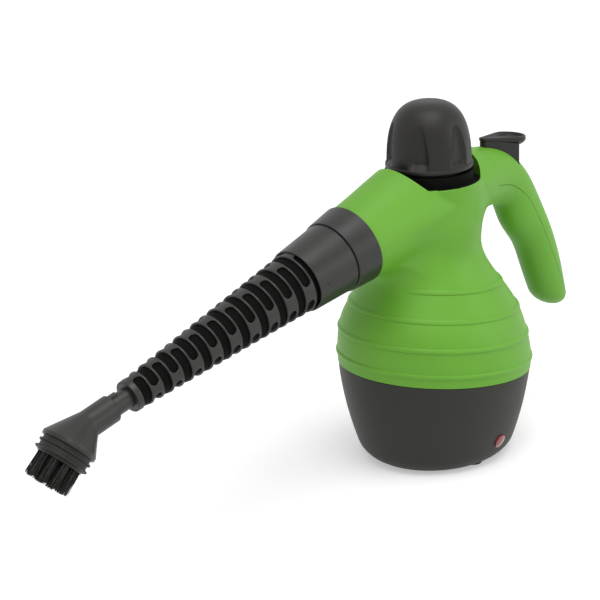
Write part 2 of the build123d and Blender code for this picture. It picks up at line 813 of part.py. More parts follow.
def valve_lever():
    """Rocking lever from the thumb button's foot to the fork under the valve stem's head."""
    low = lever_z - lever_t / 2
    high = lever_z + lever_t / 2
    lever = block((valve_x - lever_boss_r, lever_rear_x), (-lever_w / 2, lever_w / 2), (low, high))
    lever += cross_rod(lever_boss_r, lever_w / 2, lever_pivot_x, lever_z)
    lever -= rod(stem_r + free_gap, 0, tall, valve_x)
    slot = stem_r + free_gap
    lever -= block((valve_x - 2 * lever_boss_r, valve_x), (-slot, slot), (0, tall))
    return lever - cross_rod(pin_r + run_gap, lever_w, lever_pivot_x, lever_z)


def lever_pin():
    return cross_rod(pin_r, pin_half, lever_pivot_x, lever_z)


def button_pin():
    return cross_rod(pin_r, pin_half, button_pivot_x, button_pivot_z)


def button_spring():
    low = button_spring_seat_z + spring_end_gap
    high = lever_z - lever_t / 2 - spring_end_gap
    return coil(button_spring_r, button_spring_wire, button_spring_turns, low, high, button_spring_x)


def teardrop(inset=0.0):
    """An upright prism of the button plate's outline, drawn in by a margin."""
    small = plate_tip_r - inset
    large = plate_rear_r - inset
    turn = math.acos((large - small) / (plate_rear_x - plate_tip_x))
    side = [(plate_tip_x - small * math.cos(turn), small * math.sin(turn)),
            (plate_rear_x - large * math.cos(turn), large * math.sin(turn))]
    other_side = [(x, -y) for x, y in reversed(side)]
    middle = extrude(make_face(Polyline(*side, *other_side, close=True)), tall)
    return middle + [rod(small, 0, tall, plate_tip_x), rod(large, 0, tall, plate_rear_x)]


def steam_button():
    """Thumb button: dished teardrop plate on a wedge that reaches down to the lever."""
    end = plate_rear_x + plate_rear_r
    tip = plate_tip_x - plate_tip_r
    button = teardrop() & side_plate(((tip, plate_tip_z), (end, plate_rear_z),
                                      (end, plate_rear_z - plate_rear_t),
                                      (tip, plate_tip_z - plate_tip_t)), wide)
    foot_z = lever_z + lever_t / 2 + free_gap
    under = plate_rear_z - plate_rear_t / 2
    wedge = side_plate(((button_front_x, between(plate_rear_z, plate_tip_z, 0.4)),
                        (button_front_x, button_pivot_z - button_boss_r),
                        (foot_front_x - over, between(foot_z, button_pivot_z, 0.6)), (foot_front_x, foot_z),
                        (foot_rear_x, foot_z), (button_rear_x, between(foot_z, button_pivot_z, 0.5)),
                        (button_rear_x, under)), button_half_w)
    button += wedge & teardrop(dish_margin / 2)
    above = side_plate(((tip, plate_tip_z - dish_tip_depth), (tip, tall), (end, tall),
                        (end, plate_rear_z - dish_rear_depth)), wide)
    button -= teardrop(dish_margin) & above
    notch = plate_tip_r / 2
    button -= block((plate_rear_x + notch, plate_rear_x + plate_rear_r / 2), (-notch, notch),
                    (plate_rear_z - dish_rear_depth - over, tall))
    return button - cross_rod(pin_r + run_gap, wide, button_pivot_x, button_pivot_z)


def hose_route():
    """Path of the hose: straight runs joined by arcs as large as the runs allow."""
    start = port_frame.origin + port_frame.z_dir * port_reach
    turn_in = nozzle_frame.origin + nozzle_frame.z_dir * (spout_back - hose_straight)
    end = nozzle_frame.origin + nozzle_frame.z_dir * spout_back
    points = [start] + [Vector(*point) for point in hose_points] + [turn_in, end]
    radii = []
    for before, here, after in zip(points, points[1:], points[2:]):
        first = here - before
        second = after - here
        half_turn = math.radians(first.get_angle(second) / 2)
        radii.append(hose_bend_share * min(first.length, second.length) / math.tan(half_turn))
    print("hose bend radii", [round(radius, 1) for radius in radii])
    return FilletPolyline(*points, radius=radii)


def steam_hose():
    """Hose from the valve's port, round the filler neck, to the spout tube."""
    route = hose_route()
    start = Plane(origin=route @ 0, z_dir=route % 0)
    return sweep(start * (Circle(hose_r) - Circle(hose_bore_r)), path=route)


def spout_tube():
    """Fixed steam tube through the nose, with the flange behind its front wall and a groove for the seal."""
    flange_front = nose_len - nose_front_t
    tube = turned(((spout_bore_r, spout_back), (spout_r, spout_back),
                   (spout_r, flange_front - spout_flange_t),
                   (spout_flange_r, flange_front - spout_flange_t), (spout_flange_r, flange_front),
                   (spout_r, flange_front), (spout_r, oring_at), (spout_r - oring_depth, oring_at),
                   (spout_r - oring_depth, oring_at + oring_w), (spout_r, oring_at + oring_w),
                   (spout_r, spout_front - over), (spout_r - over, spout_front), (spout_bore_r, spout_front)))
    return nozzle_frame.location * tube


def spout_seal():
    return nozzle_frame.location * (rod(spout_r, oring_at, oring_at + oring_w) - rod(
        spout_r - oring_depth, oring_at - over, oring_at + oring_w + over))


def spout_collar():
    """Fixed bayonet collar on the nose: it holds the nozzle's lugs in its groove."""
    front = nose_len + collar_len
    lug_groove = lug_at - (lug_groove_l - lug_l) / 2
    ring = turned(((spout_r, nose_len), (collar_back_r, nose_len), (collar_front_r, front - over / 2),
                   (collar_front_r - over / 2, front), (collar_bore_r, front),
                   (collar_bore_r, lug_groove + lug_groove_l), (lug_groove_r, lug_groove + lug_groove_l),
                   (lug_groove_r, lug_groove), (collar_bore_r, lug_groove),
                   (collar_bore_r, nose_len + collar_back_t), (spout_r, nose_len + collar_back_t)))
    ring -= [Rot(0, 0, lug_turn_deg + 90 + index * 360 / lug_count) * block(
        (0, lug_groove_r), (-lug_w / 2 - free_gap, lug_w / 2 + free_gap), (lug_at, front + over))
        for index in range(lug_count)]
    return nozzle_frame.location * ring


def sleeve_radius(at):
    back = nose_len + collar_len
    return between(sleeve_back_r, sleeve_front_r, (at - back) / (sleeve_front - back))


def nozzle_sleeve():
    """Plain back of the nozzle: spigot with two lugs, step and a short cone with a pip that marks its top."""
    step = nose_len + collar_len + free_gap
    inner = spigot_r - sleeve_wall
    sleeve = turned(((inner, spigot_back), (spigot_r, spigot_back), (spigot_r, step), (sleeve_back_r, step),
                     (sleeve_front_r, sleeve_front), (cone_back_r - cone_wall, sleeve_front),
                     (inner, core_back + core_flange_t)))
    sleeve += [Rot(0, 0, 90 + index * 360 / lug_count) * (block(
        (inner + over, lug_r), (-lug_w / 2, lug_w / 2), (lug_at, lug_at + lug_l)))
        for index in range(lug_count)]
    pip = Rot(0, 0, -90) * Pos(sleeve_radius(mark_at) - mark_r / 3, 0, mark_at) * Sphere(mark_r)
    return nozzle_frame.location * (sleeve + pip)


def cone_radius(at):
    return between(cone_back_r, cone_front_r, (at - sleeve_front) / (cone_front - sleeve_front))


def slot_pair(at, half_deg, turn):
    """Two round-ended slots through the cone's wall, facing each other, with ends square to the wall."""
    inner = cone_front_r - 2 * cone_wall
    outer = 2 * cone_back_r
    end_deg = half_deg - math.degrees(math.asin(slot_w / 2 / cone_radius(at)))
    section = Plane.XZ * Pos((inner + outer) / 2, at) * Rectangle(outer - inner, slot_w)
    slot = Rot(0, 0, -end_deg) * revolve(section, Axis.Z, 2 * end_deg)
    slot += [Rot(0, 0, side * end_deg) * Pos(0, 0, at) * Rot(0, 90, 0) * rod(slot_w / 2, inner, outer)
             for side in (-1, 1)]
    return [Rot(0, 0, turn + half_turn) * slot for half_turn in (0, 180)]


def nozzle_cone():
    """Slotted cone of the nozzle: rows of slots that alternate between its sides and its top and bottom."""
    cone = turned(((cone_back_r - cone_wall, sleeve_front), (cone_back_r, sleeve_front),
                   (cone_front_r, cone_front), (tip_r, cone_front), (tip_r, cone_front - cone_end_t),
                   (cone_radius(cone_front - cone_end_t) - cone_wall, cone_front - cone_end_t)))
    cuts = []
    for index in range(slot_count):
        side_at = slot_first + index * slot_pitch
        cuts += slot_pair(side_at, side_slot_deg, 90)
        if index < slot_count - 1:
            cuts += slot_pair(side_at + slot_pitch / 2, top_slot_deg, 0)
    return nozzle_frame.location * (cone - cuts)


def nozzle_core():
    """Inner steam tube of the nozzle: socket on the spout tube, then a long taper inside the slotted cone."""
    flange_front = core_back + core_flange_t
    back_r = cone_back_r - cone_wall - core_gap
    front = cone_front - cone_end_t
    front_r = cone_radius(front) - cone_wall - core_gap
    depth = spout_front + free_gap
    bore = spout_r + run_gap
    tube = turned(((bore, core_back), (core_flange_r, core_back), (core_flange_r, flange_front),
                   (back_r, flange_front), (back_r, sleeve_front), (front_r, front), (core_bore_r, front),
                   (core_bore_r, front - core_wall), (back_r - core_wall, sleeve_front),
                   (back_r - core_wall, depth + core_wall), (core_bore_r, depth + core_wall),
                   (core_bore_r, depth), (bore, depth)))
    return nozzle_frame.location * tube


def nozzle_tip():
    """Outlet tube of the nozzle, with a key for the brush."""
    back = cone_front - cone_end_t
    tube = turned(((tip_bore_r, back), (tip_r, back), (tip_r, tip_front - over), (tip_r - over, tip_front),
                   (tip_bore_r, tip_front)))
    tube += block((tip_r - over, tip_r + key_h), (-key_w / 2, key_w / 2), (key_back, key_front))
    return nozzle_frame.location * tube


def brush_body():
    """Socket of the brush, with its key notch, and the bent funnel that carries the bristles."""
    tube = rod(socket_r, socket_back, funnel_back)
    rear = Pos(0, 0, funnel_back) * Circle(socket_r)
    rim = brush_frame.location * Pos(0, 0, rim_at) * Circle(rim_r)
    funnel = loft([rear, rim], ruled=True)
    head = rod(rim_r, rim_at, rim_at + rim_t) + rod(hub_r, rim_at, hub_front)
    body = tube + funnel + brush_frame.location * head
    body -= rod(tip_r + run_gap, socket_back - over, tip_front + free_gap)
    body -= rod(steam_hole_r, socket_back, bend_at)
    body -= brush_frame.location * rod(steam_hole_r, -over, tall)
    body -= brush_frame.location * Sphere(steam_hole_r)
    body -= block((0, tip_r + 2 * key_h), (-key_w / 2 - free_gap, key_w / 2 + free_gap),
                  (socket_back - over, key_front + free_gap))
    return nozzle_frame.location * body


def brush_fins():
    """Rubber sleeve with two thin round fins on the hub."""
    sleeve = rod(hub_r + fin_sleeve_t, rim_at + rim_t, hub_front)
    for place, radius in zip(fin_places, fin_radii):
        fin = rod(radius, place - fin_t / 2, place + fin_t / 2)
        sleeve += chamfer(fin.edges(), fin_t / 4)
    sleeve -= rod(hub_r, 0, tall)
    return nozzle_frame.location * brush_frame.location * sleeve


def brush_bristles():
    """Backing disc and tufts of straight square strands round the steam hole."""
    root = hub_front + backing_t
    strands = []
    for ring_r, tufts in tuft_rings:
        for tuft in around(tufts, ring_r):
            for strand_r, count in strand_rings:
                for index, place in enumerate(around(count, strand_r, 15)):
                    length = bristle_tip - root - strand_step * ((index * 2) % 3)
                    strand = Pos(0, 0, root + (length - strand_root) / 2) * Box(
                        strand_w, strand_w, length + strand_root)
                    strands.append(tuft * place * strand)
    backing = rod(hub_r, hub_front, root) - rod(steam_hole_r, 0, tall)
    return nozzle_frame.location * brush_frame.location * backing.fuse(*strands)


MAKERS = (base_cup, body_shell, handle_cover, foot_pads, base_screws, cord_gland, indicator_lens,
          indicator_lamp, boiler_lower, boiler_upper, boiler_gasket, boiler_bolts, heating_element,
          thermostat, thermal_fuse, terminal_block, filler_neck, neck_trim_ring, cap_dome, cap_plug,
          cap_seal, relief_piston, relief_keeper, relief_spring, valve_block, valve_bonnet,
          valve_stem, valve_spring, valve_lever, lever_pin, button_pin, button_spring, steam_button,
          steam_hose, spout_tube, spout_seal, spout_collar, nozzle_sleeve, nozzle_cone, nozzle_core,
          nozzle_tip, brush_body, brush_fins, brush_bristles)


def write_parts():
    """Write each sub-part to its own file, named after the function that makes it."""
    os.makedirs("parts", exist_ok=True)
    for make in MAKERS:
        made = make()
        if isinstance(made, list):
            made = Compound(children=[Solid(piece.wrapped) for piece in made])
        export_step(made, f"parts/{make.__name__}.step")


if __name__ == "__main__":
    write_parts()
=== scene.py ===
"""Looks of a handheld steam cleaner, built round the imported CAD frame.

Blender works in metres, so every named length here is a number of millimetres times mm.
The nozzle points to -X, the handle hangs at +X, and the foot of the body stands on Z = 0.
"""
import json
import math
import random
import bmesh
import bpy
import numpy as np
from mathutils import Matrix, Vector


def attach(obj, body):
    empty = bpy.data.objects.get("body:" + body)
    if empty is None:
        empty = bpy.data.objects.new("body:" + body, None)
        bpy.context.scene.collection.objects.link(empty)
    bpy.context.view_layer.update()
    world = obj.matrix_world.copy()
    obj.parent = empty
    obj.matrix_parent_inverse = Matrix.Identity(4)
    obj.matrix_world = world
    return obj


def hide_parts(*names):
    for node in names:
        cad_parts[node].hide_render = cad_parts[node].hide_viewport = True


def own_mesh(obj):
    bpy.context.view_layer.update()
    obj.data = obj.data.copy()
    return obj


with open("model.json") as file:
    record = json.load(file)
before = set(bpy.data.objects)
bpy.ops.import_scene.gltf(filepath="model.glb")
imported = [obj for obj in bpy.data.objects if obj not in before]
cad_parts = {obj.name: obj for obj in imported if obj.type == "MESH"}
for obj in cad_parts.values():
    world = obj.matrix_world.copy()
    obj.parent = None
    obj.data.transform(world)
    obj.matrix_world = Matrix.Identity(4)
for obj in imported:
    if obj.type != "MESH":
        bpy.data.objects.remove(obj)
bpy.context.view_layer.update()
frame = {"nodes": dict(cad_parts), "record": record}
mm = 0.001

# Body: half-lengths at foot, belly and neck, heights, and how the wide seam tilts to the nozzle
foot_r = 51.5 * mm
belly_r = 67.8 * mm
neck_r = 35.3 * mm
head_r = 34.5 * mm
base_h = 63.3 * mm
neck_z = 148.0 * mm
rim_z = 192.0 * mm
depth_share = 0.92
body_lean = 4.2 * mm
seam_tilt = 0.11
foot_round = 11.0 * mm
shell_wall = 2.6 * mm
shell_skirt = 14.0 * mm
skirt_plain = 12.0 * mm
cup_wall = 2.8 * mm
cup_step = 0.35 * mm
cup_gap = 0.15 * mm
cup_edge = 0.4 * mm
cup_shares = ((0.0, 0.0), (0.19, 0.276), (0.38, 0.51), (0.57, 0.705), (0.76, 0.86))
belly_shares = ((0.0, 1.0, 0.0, 0.92), (0.174, 0.985, 0.35, 0.92), (0.315, 0.923, 0.7, 0.92),
                (0.457, 0.80, 0.95, 0.92), (0.575, 0.62, 1.0, 0.92), (0.717, 0.37, 1.15, 0.93),
                (0.858, 0.132, 1.15, 0.95), (1.0, 0.0, 1.05, 0.97))

# Gap between pieces that slide or lie in each other
nozzle_gap = 0.3 * mm

# Distances in metres that clear the whole object, for cuts, and the distance within which points are merged
over_all = 0.3
beside_all = 0.1
below_all = 0.4
merge_within = 0.001 * mm

# Raised ribs round the green shell
rib_h = 3.4 * mm
rib_proud = 1.0 * mm
rib_rises = (5.8, 23.2, 41.4, 59.0)

# Well of the cap, how far it is cut back into the nose above the rim, and the radii with which nose and
# handle flow into the neck
cap_x = -2.8 * mm
well_r = 33.3 * mm
well_floor_z = 187.5 * mm
well_wall = 1.4 * mm
neck_hole_r = 14.8 * mm
saddle = 3.8 * mm
saddle_z = rim_z + 0.3 * mm
rim_round = 0.8 * mm
nose_blend = 24.0 * mm
handle_blend = 20.0 * mm
blend_fade = 18.0 * mm

# Nose along the nozzle axis
nose_root = Vector((-12.7, 0, 180.3)) * mm
droop = math.radians(14.5)
along_nose = Vector((-math.cos(droop), 0, -math.sin(droop)))
up_nose = Vector((-math.sin(droop), 0, math.cos(droop)))
nose_len = 65.0 * mm
nose_spare = 8.0 * mm
nose_root_l = 30.0 * mm
# Share of the nose's length, half-height, half-width, and how much narrower its crest is than its middle
nose_shares = ((0.0, 34.2, 33.0, 0.3), (0.3, 31.2, 31.0, 0.2), (0.55, 28.6, 28.3, 0.1),
               (0.8, 26.2, 26.2, 0.03), (1.0, 24.9, 24.9, 0.0))
spout_hole_r = 9.3 * mm

# Handle: centre line (x, z), half-thickness and half-width, and the slanting plane that ends it
handle_line = ((6.0, 183.5), (20.0, 183.0), (42.0, 182.0), (60.9, 179.1), (76.4, 169.0), (87.1, 150.9),
               (98.1, 133.8), (110.4, 106.6), (122.4, 73.5))
handle_thick = (21.5, 21.5, 20.8, 19.2, 16.3, 17.3, 15.6, 14.8, 11.6)
handle_width = (31.0, 28.0, 21.5, 16.4, 14.6, 14.0, 14.0, 13.6, 12.4)
handle_round = 10.5 * mm
handle_end = (121.0 * mm, 72.2 * mm)
handle_end_turn = math.radians(9)

# Cover of the handle's back: its side seam as (x, z), the gap along it, and how far its outline reaches out
cover_seam = ((41.0, 180.4), (54.4, 177.6), (64.5, 174.2), (73.7, 168.4), (82.0, 160.8), (88.4, 152.0),
              (95.2, 140.6), (102.4, 126.9), (109.4, 113.2), (116.2, 100.2), (122.2, 89.0), (127.8, 77.0))
cover_gap = 0.3 * mm
cover_reach = 50.0 * mm
slot_x = (49.1 * mm, 76.7 * mm)
slot_gap = 0.45 * mm
slot_low_z = 178.2 * mm

# Mesh spacing: the skin's, the hidden inside's, and the number of steps round a turned piece
skin_grid = 1.3 * mm
inside_grid = 2.2 * mm
round_steps = 96


def smooth_line(knots, values):
    """Natural cubic spline through the values at the knots, as a function of an array."""
    knots = np.array(knots, float)
    values = np.array(values, float)
    step = np.diff(knots)
    slope = np.diff(values) / step
    count = len(knots)
    bend = np.eye(count)
    push = np.zeros(count)
    for i in range(1, count - 1):
        bend[i, i - 1:i + 2] = step[i - 1], 2 * (step[i - 1] + step[i]), step[i]
        push[i] = 6 * (slope[i] - slope[i - 1])
    curve = np.linalg.solve(bend, push)

    def at(x):
        x = np.clip(x, knots[0], knots[-1])
        i = np.clip(np.searchsorted(knots, x) - 1, 0, count - 2)
        left = (knots[i + 1] - x) / step[i]
        right = 1 - left
        lift = (left ** 3 - left) * curve[i] + (right ** 3 - right) * curve[i + 1]
        return left * values[i] + right * values[i + 1] + lift * step[i] ** 2 / 6
    return at


def body_lines():
    """Half-length, half-width and lean of the body's ellipse as functions of height."""
    rows = []
    for rise, growth in cup_shares:
        half = foot_r + (belly_r - foot_r) * growth
        rows.append((base_h * rise, half, half * depth_share, 0.0))
    for rise, growth, lean, width in belly_shares:
        half = neck_r + (belly_r - neck_r) * growth
        rows.append((base_h + (neck_z - base_h) * rise, half, half * width, -body_lean * lean))
    rows.append((neck_z + (rim_z - neck_z) * 0.3, neck_r, neck_r, -body_lean))
    rows.append((neck_z + (rim_z - neck_z) * 0.65, head_r, head_r, cap_x))
    rows.append((rim_z, head_r, head_r, cap_x))
    heights = [row[0] for row in rows]
    return [smooth_line(heights, [row[i] for row in rows]) for i in (1, 2, 3)]


body_half, body_width, lean_at = body_lines()


def on_body(turn, level, tilt=seam_tilt, out=0.0):
    """Points of the body's surface at angles round it, on a plane that rises towards the nozzle."""
    x = np.zeros_like(turn)
    for _ in range(6):
        z = level - tilt * x
        x = lean_at(z) + (body_half(z) + out) * np.cos(turn)
    y = (body_width(z) + out) * np.sin(turn)
    return np.stack([x, y, z], 1)


def length_along(points):
    """Running length at each point of a line."""
    steps = np.linalg.norm(np.diff(np.array(points, float), axis=0), axis=1)
    return np.concatenate([[0], np.cumsum(steps)])


class HandleLine:
    """The handle's centre line with its thickness and width, as functions of the length along it."""
    runs = length_along(handle_line) * mm
    x = staticmethod(smooth_line(runs, [p[0] * mm for p in handle_line]))
    z = staticmethod(smooth_line(runs, [p[1] * mm for p in handle_line]))
    thick = staticmethod(smooth_line(runs, [t * mm for t in handle_thick]))
    width = staticmethod(smooth_line(runs, [w * mm for w in handle_width]))

    @classmethod
    def frame_at(cls, run):
        """Point, direction along and direction towards the back of the hand, as (x, z) arrays."""
        run = np.clip(run, cls.runs[0], cls.runs[-1])
        near = 0.2 * mm
        low = np.clip(run - near, cls.runs[0], cls.runs[-1])
        high = np.clip(run + near, cls.runs[0], cls.runs[-1])
        along = np.stack([cls.x(high) - cls.x(low), cls.z(high) - cls.z(low)], -1)
        along /= np.linalg.norm(along, axis=-1, keepdims=True)
        back = np.stack([-along[..., 1], along[..., 0]], -1)
        return np.stack([cls.x(run), cls.z(run)], -1), along, back


def round_corner(a, b, radius):
    """Where two forms cut each other, their common edge with that radius."""
    both = np.hypot(np.maximum(radius + a, 0), np.maximum(radius + b, 0))
    return np.minimum(-radius, np.maximum(a, b)) + both


def body_form(p):
    """How far points are outside the body without nose and handle."""
    x, y, z = p.T
    half = body_half(z)
    side = np.hypot(x - lean_at(z), y * half / body_width(z)) - half
    return round_corner(side, z - rim_z, rim_round)


nose_high = smooth_line([row[0] for row in nose_shares], [row[1] * mm for row in nose_shares])
nose_wide = smooth_line([row[0] for row in nose_shares], [row[2] * mm for row in nose_shares])
nose_crest = smooth_line([row[0] for row in nose_shares], [row[3] for row in nose_shares])


def nose_form(p):
    """How far points are outside the nose."""
    near = p - np.array(nose_root)
    run = near @ np.array(along_nose)
    high = nose_high(run / nose_len)
    wide = nose_wide(run / nose_len)
    behind = np.minimum(run, 0) / nose_root_l
    rise = near @ np.array(up_nose) / high
    narrow = 1 - nose_crest(run / nose_len) * np.clip(rise, 0, 1)
    across = np.hypot(rise, p[:, 1] / wide / narrow)
    side = (np.hypot(across, behind) - 1) * np.minimum(high, wide)
    return round_corner(side, run - nose_len - nose_spare, rim_round)


def handle_form(p):
    """How far points are outside the handle."""
    flat = p[:, (0, 2)]
    marks = np.linspace(HandleLine.runs[0], HandleLine.runs[-1], 70)
    places, along, _ = HandleLine.frame_at(marks)
    reach = ((flat[:, None, :] - places[None]) ** 2).sum(2)
    nearest = reach.argmin(1)
    run = marks[nearest] + ((flat - places[nearest]) * along[nearest]).sum(1)
    place, _, back = HandleLine.frame_at(run)
    thick = HandleLine.thick(run)
    wide = HandleLine.width(run)
    off = ((flat - place) * back).sum(1)
    side = (np.hypot(off / thick, p[:, 1] / wide) - 1) * np.minimum(thick, wide)
    before = -((flat - places[0]) * along[0]).sum(1)
    beyond = (flat - np.array(handle_end)) @ -np.array((math.sin(handle_end_turn), math.cos(handle_end_turn)))
    root = round_corner(side, before, handle_round)
    tip = round_corner(side, beyond, handle_round)
    return np.where(run < HandleLine.runs[2], root, np.where(run > HandleLine.runs[-2], tip, side))


def with_slope(form, p):
    """A form's value and its slope at points."""
    near = 0.05 * mm
    value = form(p)
    slope = np.stack([(form(p + near * axis) - value) / near for axis in np.eye(3)], 1)
    return value, slope


def flow_into(one, other, radius):
    """Union of two forms whose meeting edge gets a soft hollow, where they meet at an angle."""
    a, slope_a = one
    b, slope_b = other
    r = radius * np.clip(1 - (slope_a * slope_b).sum(1), 0, 1)
    near_a = np.maximum(r - a, 0)
    near_b = np.maximum(r - b, 0)
    reach = np.hypot(near_a, near_b)
    value = np.maximum(r, np.minimum(a, b)) - reach
    mixed = near_a[:, None] * slope_a + near_b[:, None] * slope_b
    slope = np.where((reach > 1e-9)[:, None], mixed / np.maximum(reach, 1e-9)[:, None],
                     np.where((a < b)[:, None], slope_a, slope_b))
    return value, slope


def shell_form(p):
    """Body, nose and handle as one moulding; the transitions are soft below the rim and sharp above it."""
    fade = np.clip((rim_z - p[:, 2]) / blend_fade, 0, 1)
    body = with_slope(body_form, p)
    with_nose = flow_into(body, with_slope(nose_form, p), nose_blend * fade)
    return flow_into(with_nose, with_slope(handle_form, p), handle_blend * fade)


def new_object(name, bm):
    """An object of a finished bmesh, linked to the scene."""
    mesh = bpy.data.meshes.new(name)
    bm.to_mesh(mesh)
    bm.free()
    piece = bpy.data.objects.new(name, mesh)
    bpy.context.scene.collection.objects.link(piece)
    return piece


def ring(bm, points, last=None):
    """A ring of vertices at the points, joined to the last ring if there is one."""
    if last is None:
        made = bmesh.ops.create_circle(bm, segments=len(points), radius=1)["verts"]
    else:
        edges = [bm.edges.get((last[i], last[i - 1])) for i in range(len(last))]
        out = bmesh.ops.extrude_edge_only(bm, edges=edges)["geom"]
        fresh = {v for v in out if isinstance(v, bmesh.types.BMVert)}
        made = [next(e.other_vert(v) for e in v.link_edges if e.other_vert(v) in fresh) for v in last]
    for vert, point in zip(made, points):
        vert.co = point
    return made


def skin(rows, caps=True, loop=False):
    """A bmesh through rows of points; its ends are capped, or joined to each other in a loop."""
    bm = bmesh.new()
    first = last = ring(bm, rows[0])
    for row in rows[1:]:
        last = ring(bm, row, last)
    if loop:
        ends = [bm.edges.get((end[i], end[i - 1])) for end in (first, last) for i in range(len(end))]
        bmesh.ops.bridge_loops(bm, edges=ends)
    elif caps:
        for end in (first, last):
            bm.faces.new(end)
    bmesh.ops.recalc_face_normals(bm, faces=bm.faces)
    return bm


def turned(profile, place=Matrix.Identity(4), steps=round_steps):
    """A closed profile of (radius, height) spun about Z, then put in place."""
    bm = bmesh.new()
    verts = [bm.verts.new((r, 0, z)) for r, z in profile]
    edges = [bm.edges.new((verts[i - 1], verts[i])) for i in range(1, len(verts))]
    if min(profile[0][0], profile[-1][0]) > 0:
        edges.append(bm.edges.new((verts[-1], verts[0])))
    bmesh.ops.spin(bm, geom=verts + edges, axis=(0, 0, 1), cent=(0, 0, 0), angle=2 * math.pi,
                   steps=steps, use_merge=True)
    bmesh.ops.remove_doubles(bm, verts=bm.verts, dist=merge_within)
    bmesh.ops.recalc_face_normals(bm, faces=bm.faces)
    bm.transform(place)
    return bm


def baked(piece):
    """The piece with its modifiers made real."""
    mesh = bpy.data.meshes.new_from_object(piece.evaluated_get(bpy.context.evaluated_depsgraph_get()))
    old = piece.data
    piece.modifiers.clear()
    piece.data = mesh
    bpy.data.meshes.remove(old)
    return piece


def carve(piece, bm, operation="DIFFERENCE"):
    """Cuts the piece with a tool, or keeps what the two share."""
    tool = new_object("tool", bm)
    cut = piece.modifiers.new("cut", "BOOLEAN")
    cut.operation = operation
    cut.solver = "EXACT"
    cut.object = tool
    baked(piece)
    bpy.data.objects.remove(tool)
    return piece


def crisp(piece, degrees=35):
    """Smooth shading, with sharp edges kept where faces meet at more than that angle."""
    bm = bmesh.new()
    bm.from_mesh(piece.data)
    for face in bm.faces:
        face.smooth = True
    for edge in bm.edges:
        edge.smooth = edge.calc_face_angle(0) < math.radians(degrees)
    bm.to_mesh(piece.data)
    bm.free()
    weights = piece.modifiers.new("weights", "WEIGHTED_NORMAL")
    weights.keep_sharp = True
    return piece


def fit_out(piece, material, body="root", stands_for=()):
    """Finish, shading, body and material slot of a finished piece."""
    piece.data.materials.clear()
    piece.data.materials.append(material)
    crisp(piece)
    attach(piece, body)
    if stands_for:
        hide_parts(*stands_for)
    return piece


nozzle_place = Matrix((
    (up_nose.x, 0, along_nose.x, nose_root.x),
    (0, 1, 0, 0),
    (up_nose.z, 0, along_nose.z, nose_root.z),
    (0, 0, 0, 1)))


def shell_block(inset):
    """Body, nose and handle as closed forms in one bmesh, drawn in by a wall."""
    turn = np.linspace(0, 2 * math.pi, 64, endpoint=False)
    heights = np.linspace(base_h - shell_skirt, rim_z - inset, 34)
    bm = skin([on_body(turn, z, 0, -inset) for z in heights])
    forms = [bm]
    rows = []
    for share in np.linspace(0, 1, 12):
        run = share * (nose_len + (nose_spare if inset == 0 else -inset))
        high = float(nose_high(run / nose_len)) - inset
        wide = float(nose_wide(run / nose_len)) - inset
        rows.append([nozzle_place @ Vector((high * math.cos(t), wide * math.sin(t), run)) for t in turn])
    forms.append(skin(rows))
    rows = []
    end = HandleLine.runs[-1] - inset
    for run in np.linspace(HandleLine.runs[0], end, 40):
        place, _, back = HandleLine.frame_at(np.array([run]))
        thick = float(HandleLine.thick(run)) - inset
        wide = float(HandleLine.width(run)) - inset
        left = end - run
        if left < handle_round:
            drawn = handle_round - math.sqrt(max(handle_round ** 2 - (handle_round - left) ** 2, 0))
            thick -= drawn
            wide -= drawn
        rows.append([Vector((place[0, 0] + back[0, 0] * thick * math.cos(t), wide * math.sin(t),
                             place[0, 1] + back[0, 1] * thick * math.cos(t))) for t in turn])
    forms.append(skin(rows))
    whole = bmesh.new()
    for form in forms:
        mesh = bpy.data.meshes.new("form")
        form.to_mesh(mesh)
        form.free()
        whole.from_mesh(mesh)
        bpy.data.meshes.remove(mesh)
    return whole


def shell_skin(name, grid, inset):
    """One even skin over body, nose and handle, laid onto the soft form."""
    piece = new_object(name, shell_block(inset))
    remesh = piece.modifiers.new("remesh", "REMESH")
    remesh.mode = "VOXEL"
    remesh.voxel_size = grid
    baked(piece)
    for passes in (4, 3, 2):
        points = np.zeros(len(piece.data.vertices) * 3)
        piece.data.vertices.foreach_get("co", points)
        points = points.reshape(-1, 3)
        low = points[:, 2] < base_h - skirt_plain
        for _ in range(passes):
            value, slope = shell_form(points)
            steep = np.maximum(np.linalg.norm(slope, axis=1), 0.5)
            step = np.clip(value / steep + inset, -3 * grid, 3 * grid)
            step[low] = 0
            points -= (step / steep)[:, None] * slope
        piece.data.vertices.foreach_set("co", points.ravel())
        if passes > 2:
            relax = piece.modifiers.new("relax", "SMOOTH")
            relax.factor = 0.5
            relax.iterations = 3
            baked(piece)
    return piece


def upright(radius, low, high, x=0.0):
    """A closed cylinder along Z."""
    return turned(((0, low), (radius, low), (radius, high), (0, high)), Matrix.Translation((x, 0, 0)))


def prism(outline, half):
    """A closed prism of an (x, z) outline, centred on the plane of symmetry."""
    bm = bmesh.new()
    face = bm.faces.new([bm.verts.new((x, -half, z)) for x, z in outline])
    made = bmesh.ops.extrude_face_region(bm, geom=[face])["geom"]
    far = [v for v in made if isinstance(v, bmesh.types.BMVert)]
    bmesh.ops.translate(bm, vec=(0, 2 * half, 0), verts=far)
    bmesh.ops.recalc_face_normals(bm, faces=bm.faces)
    return bm


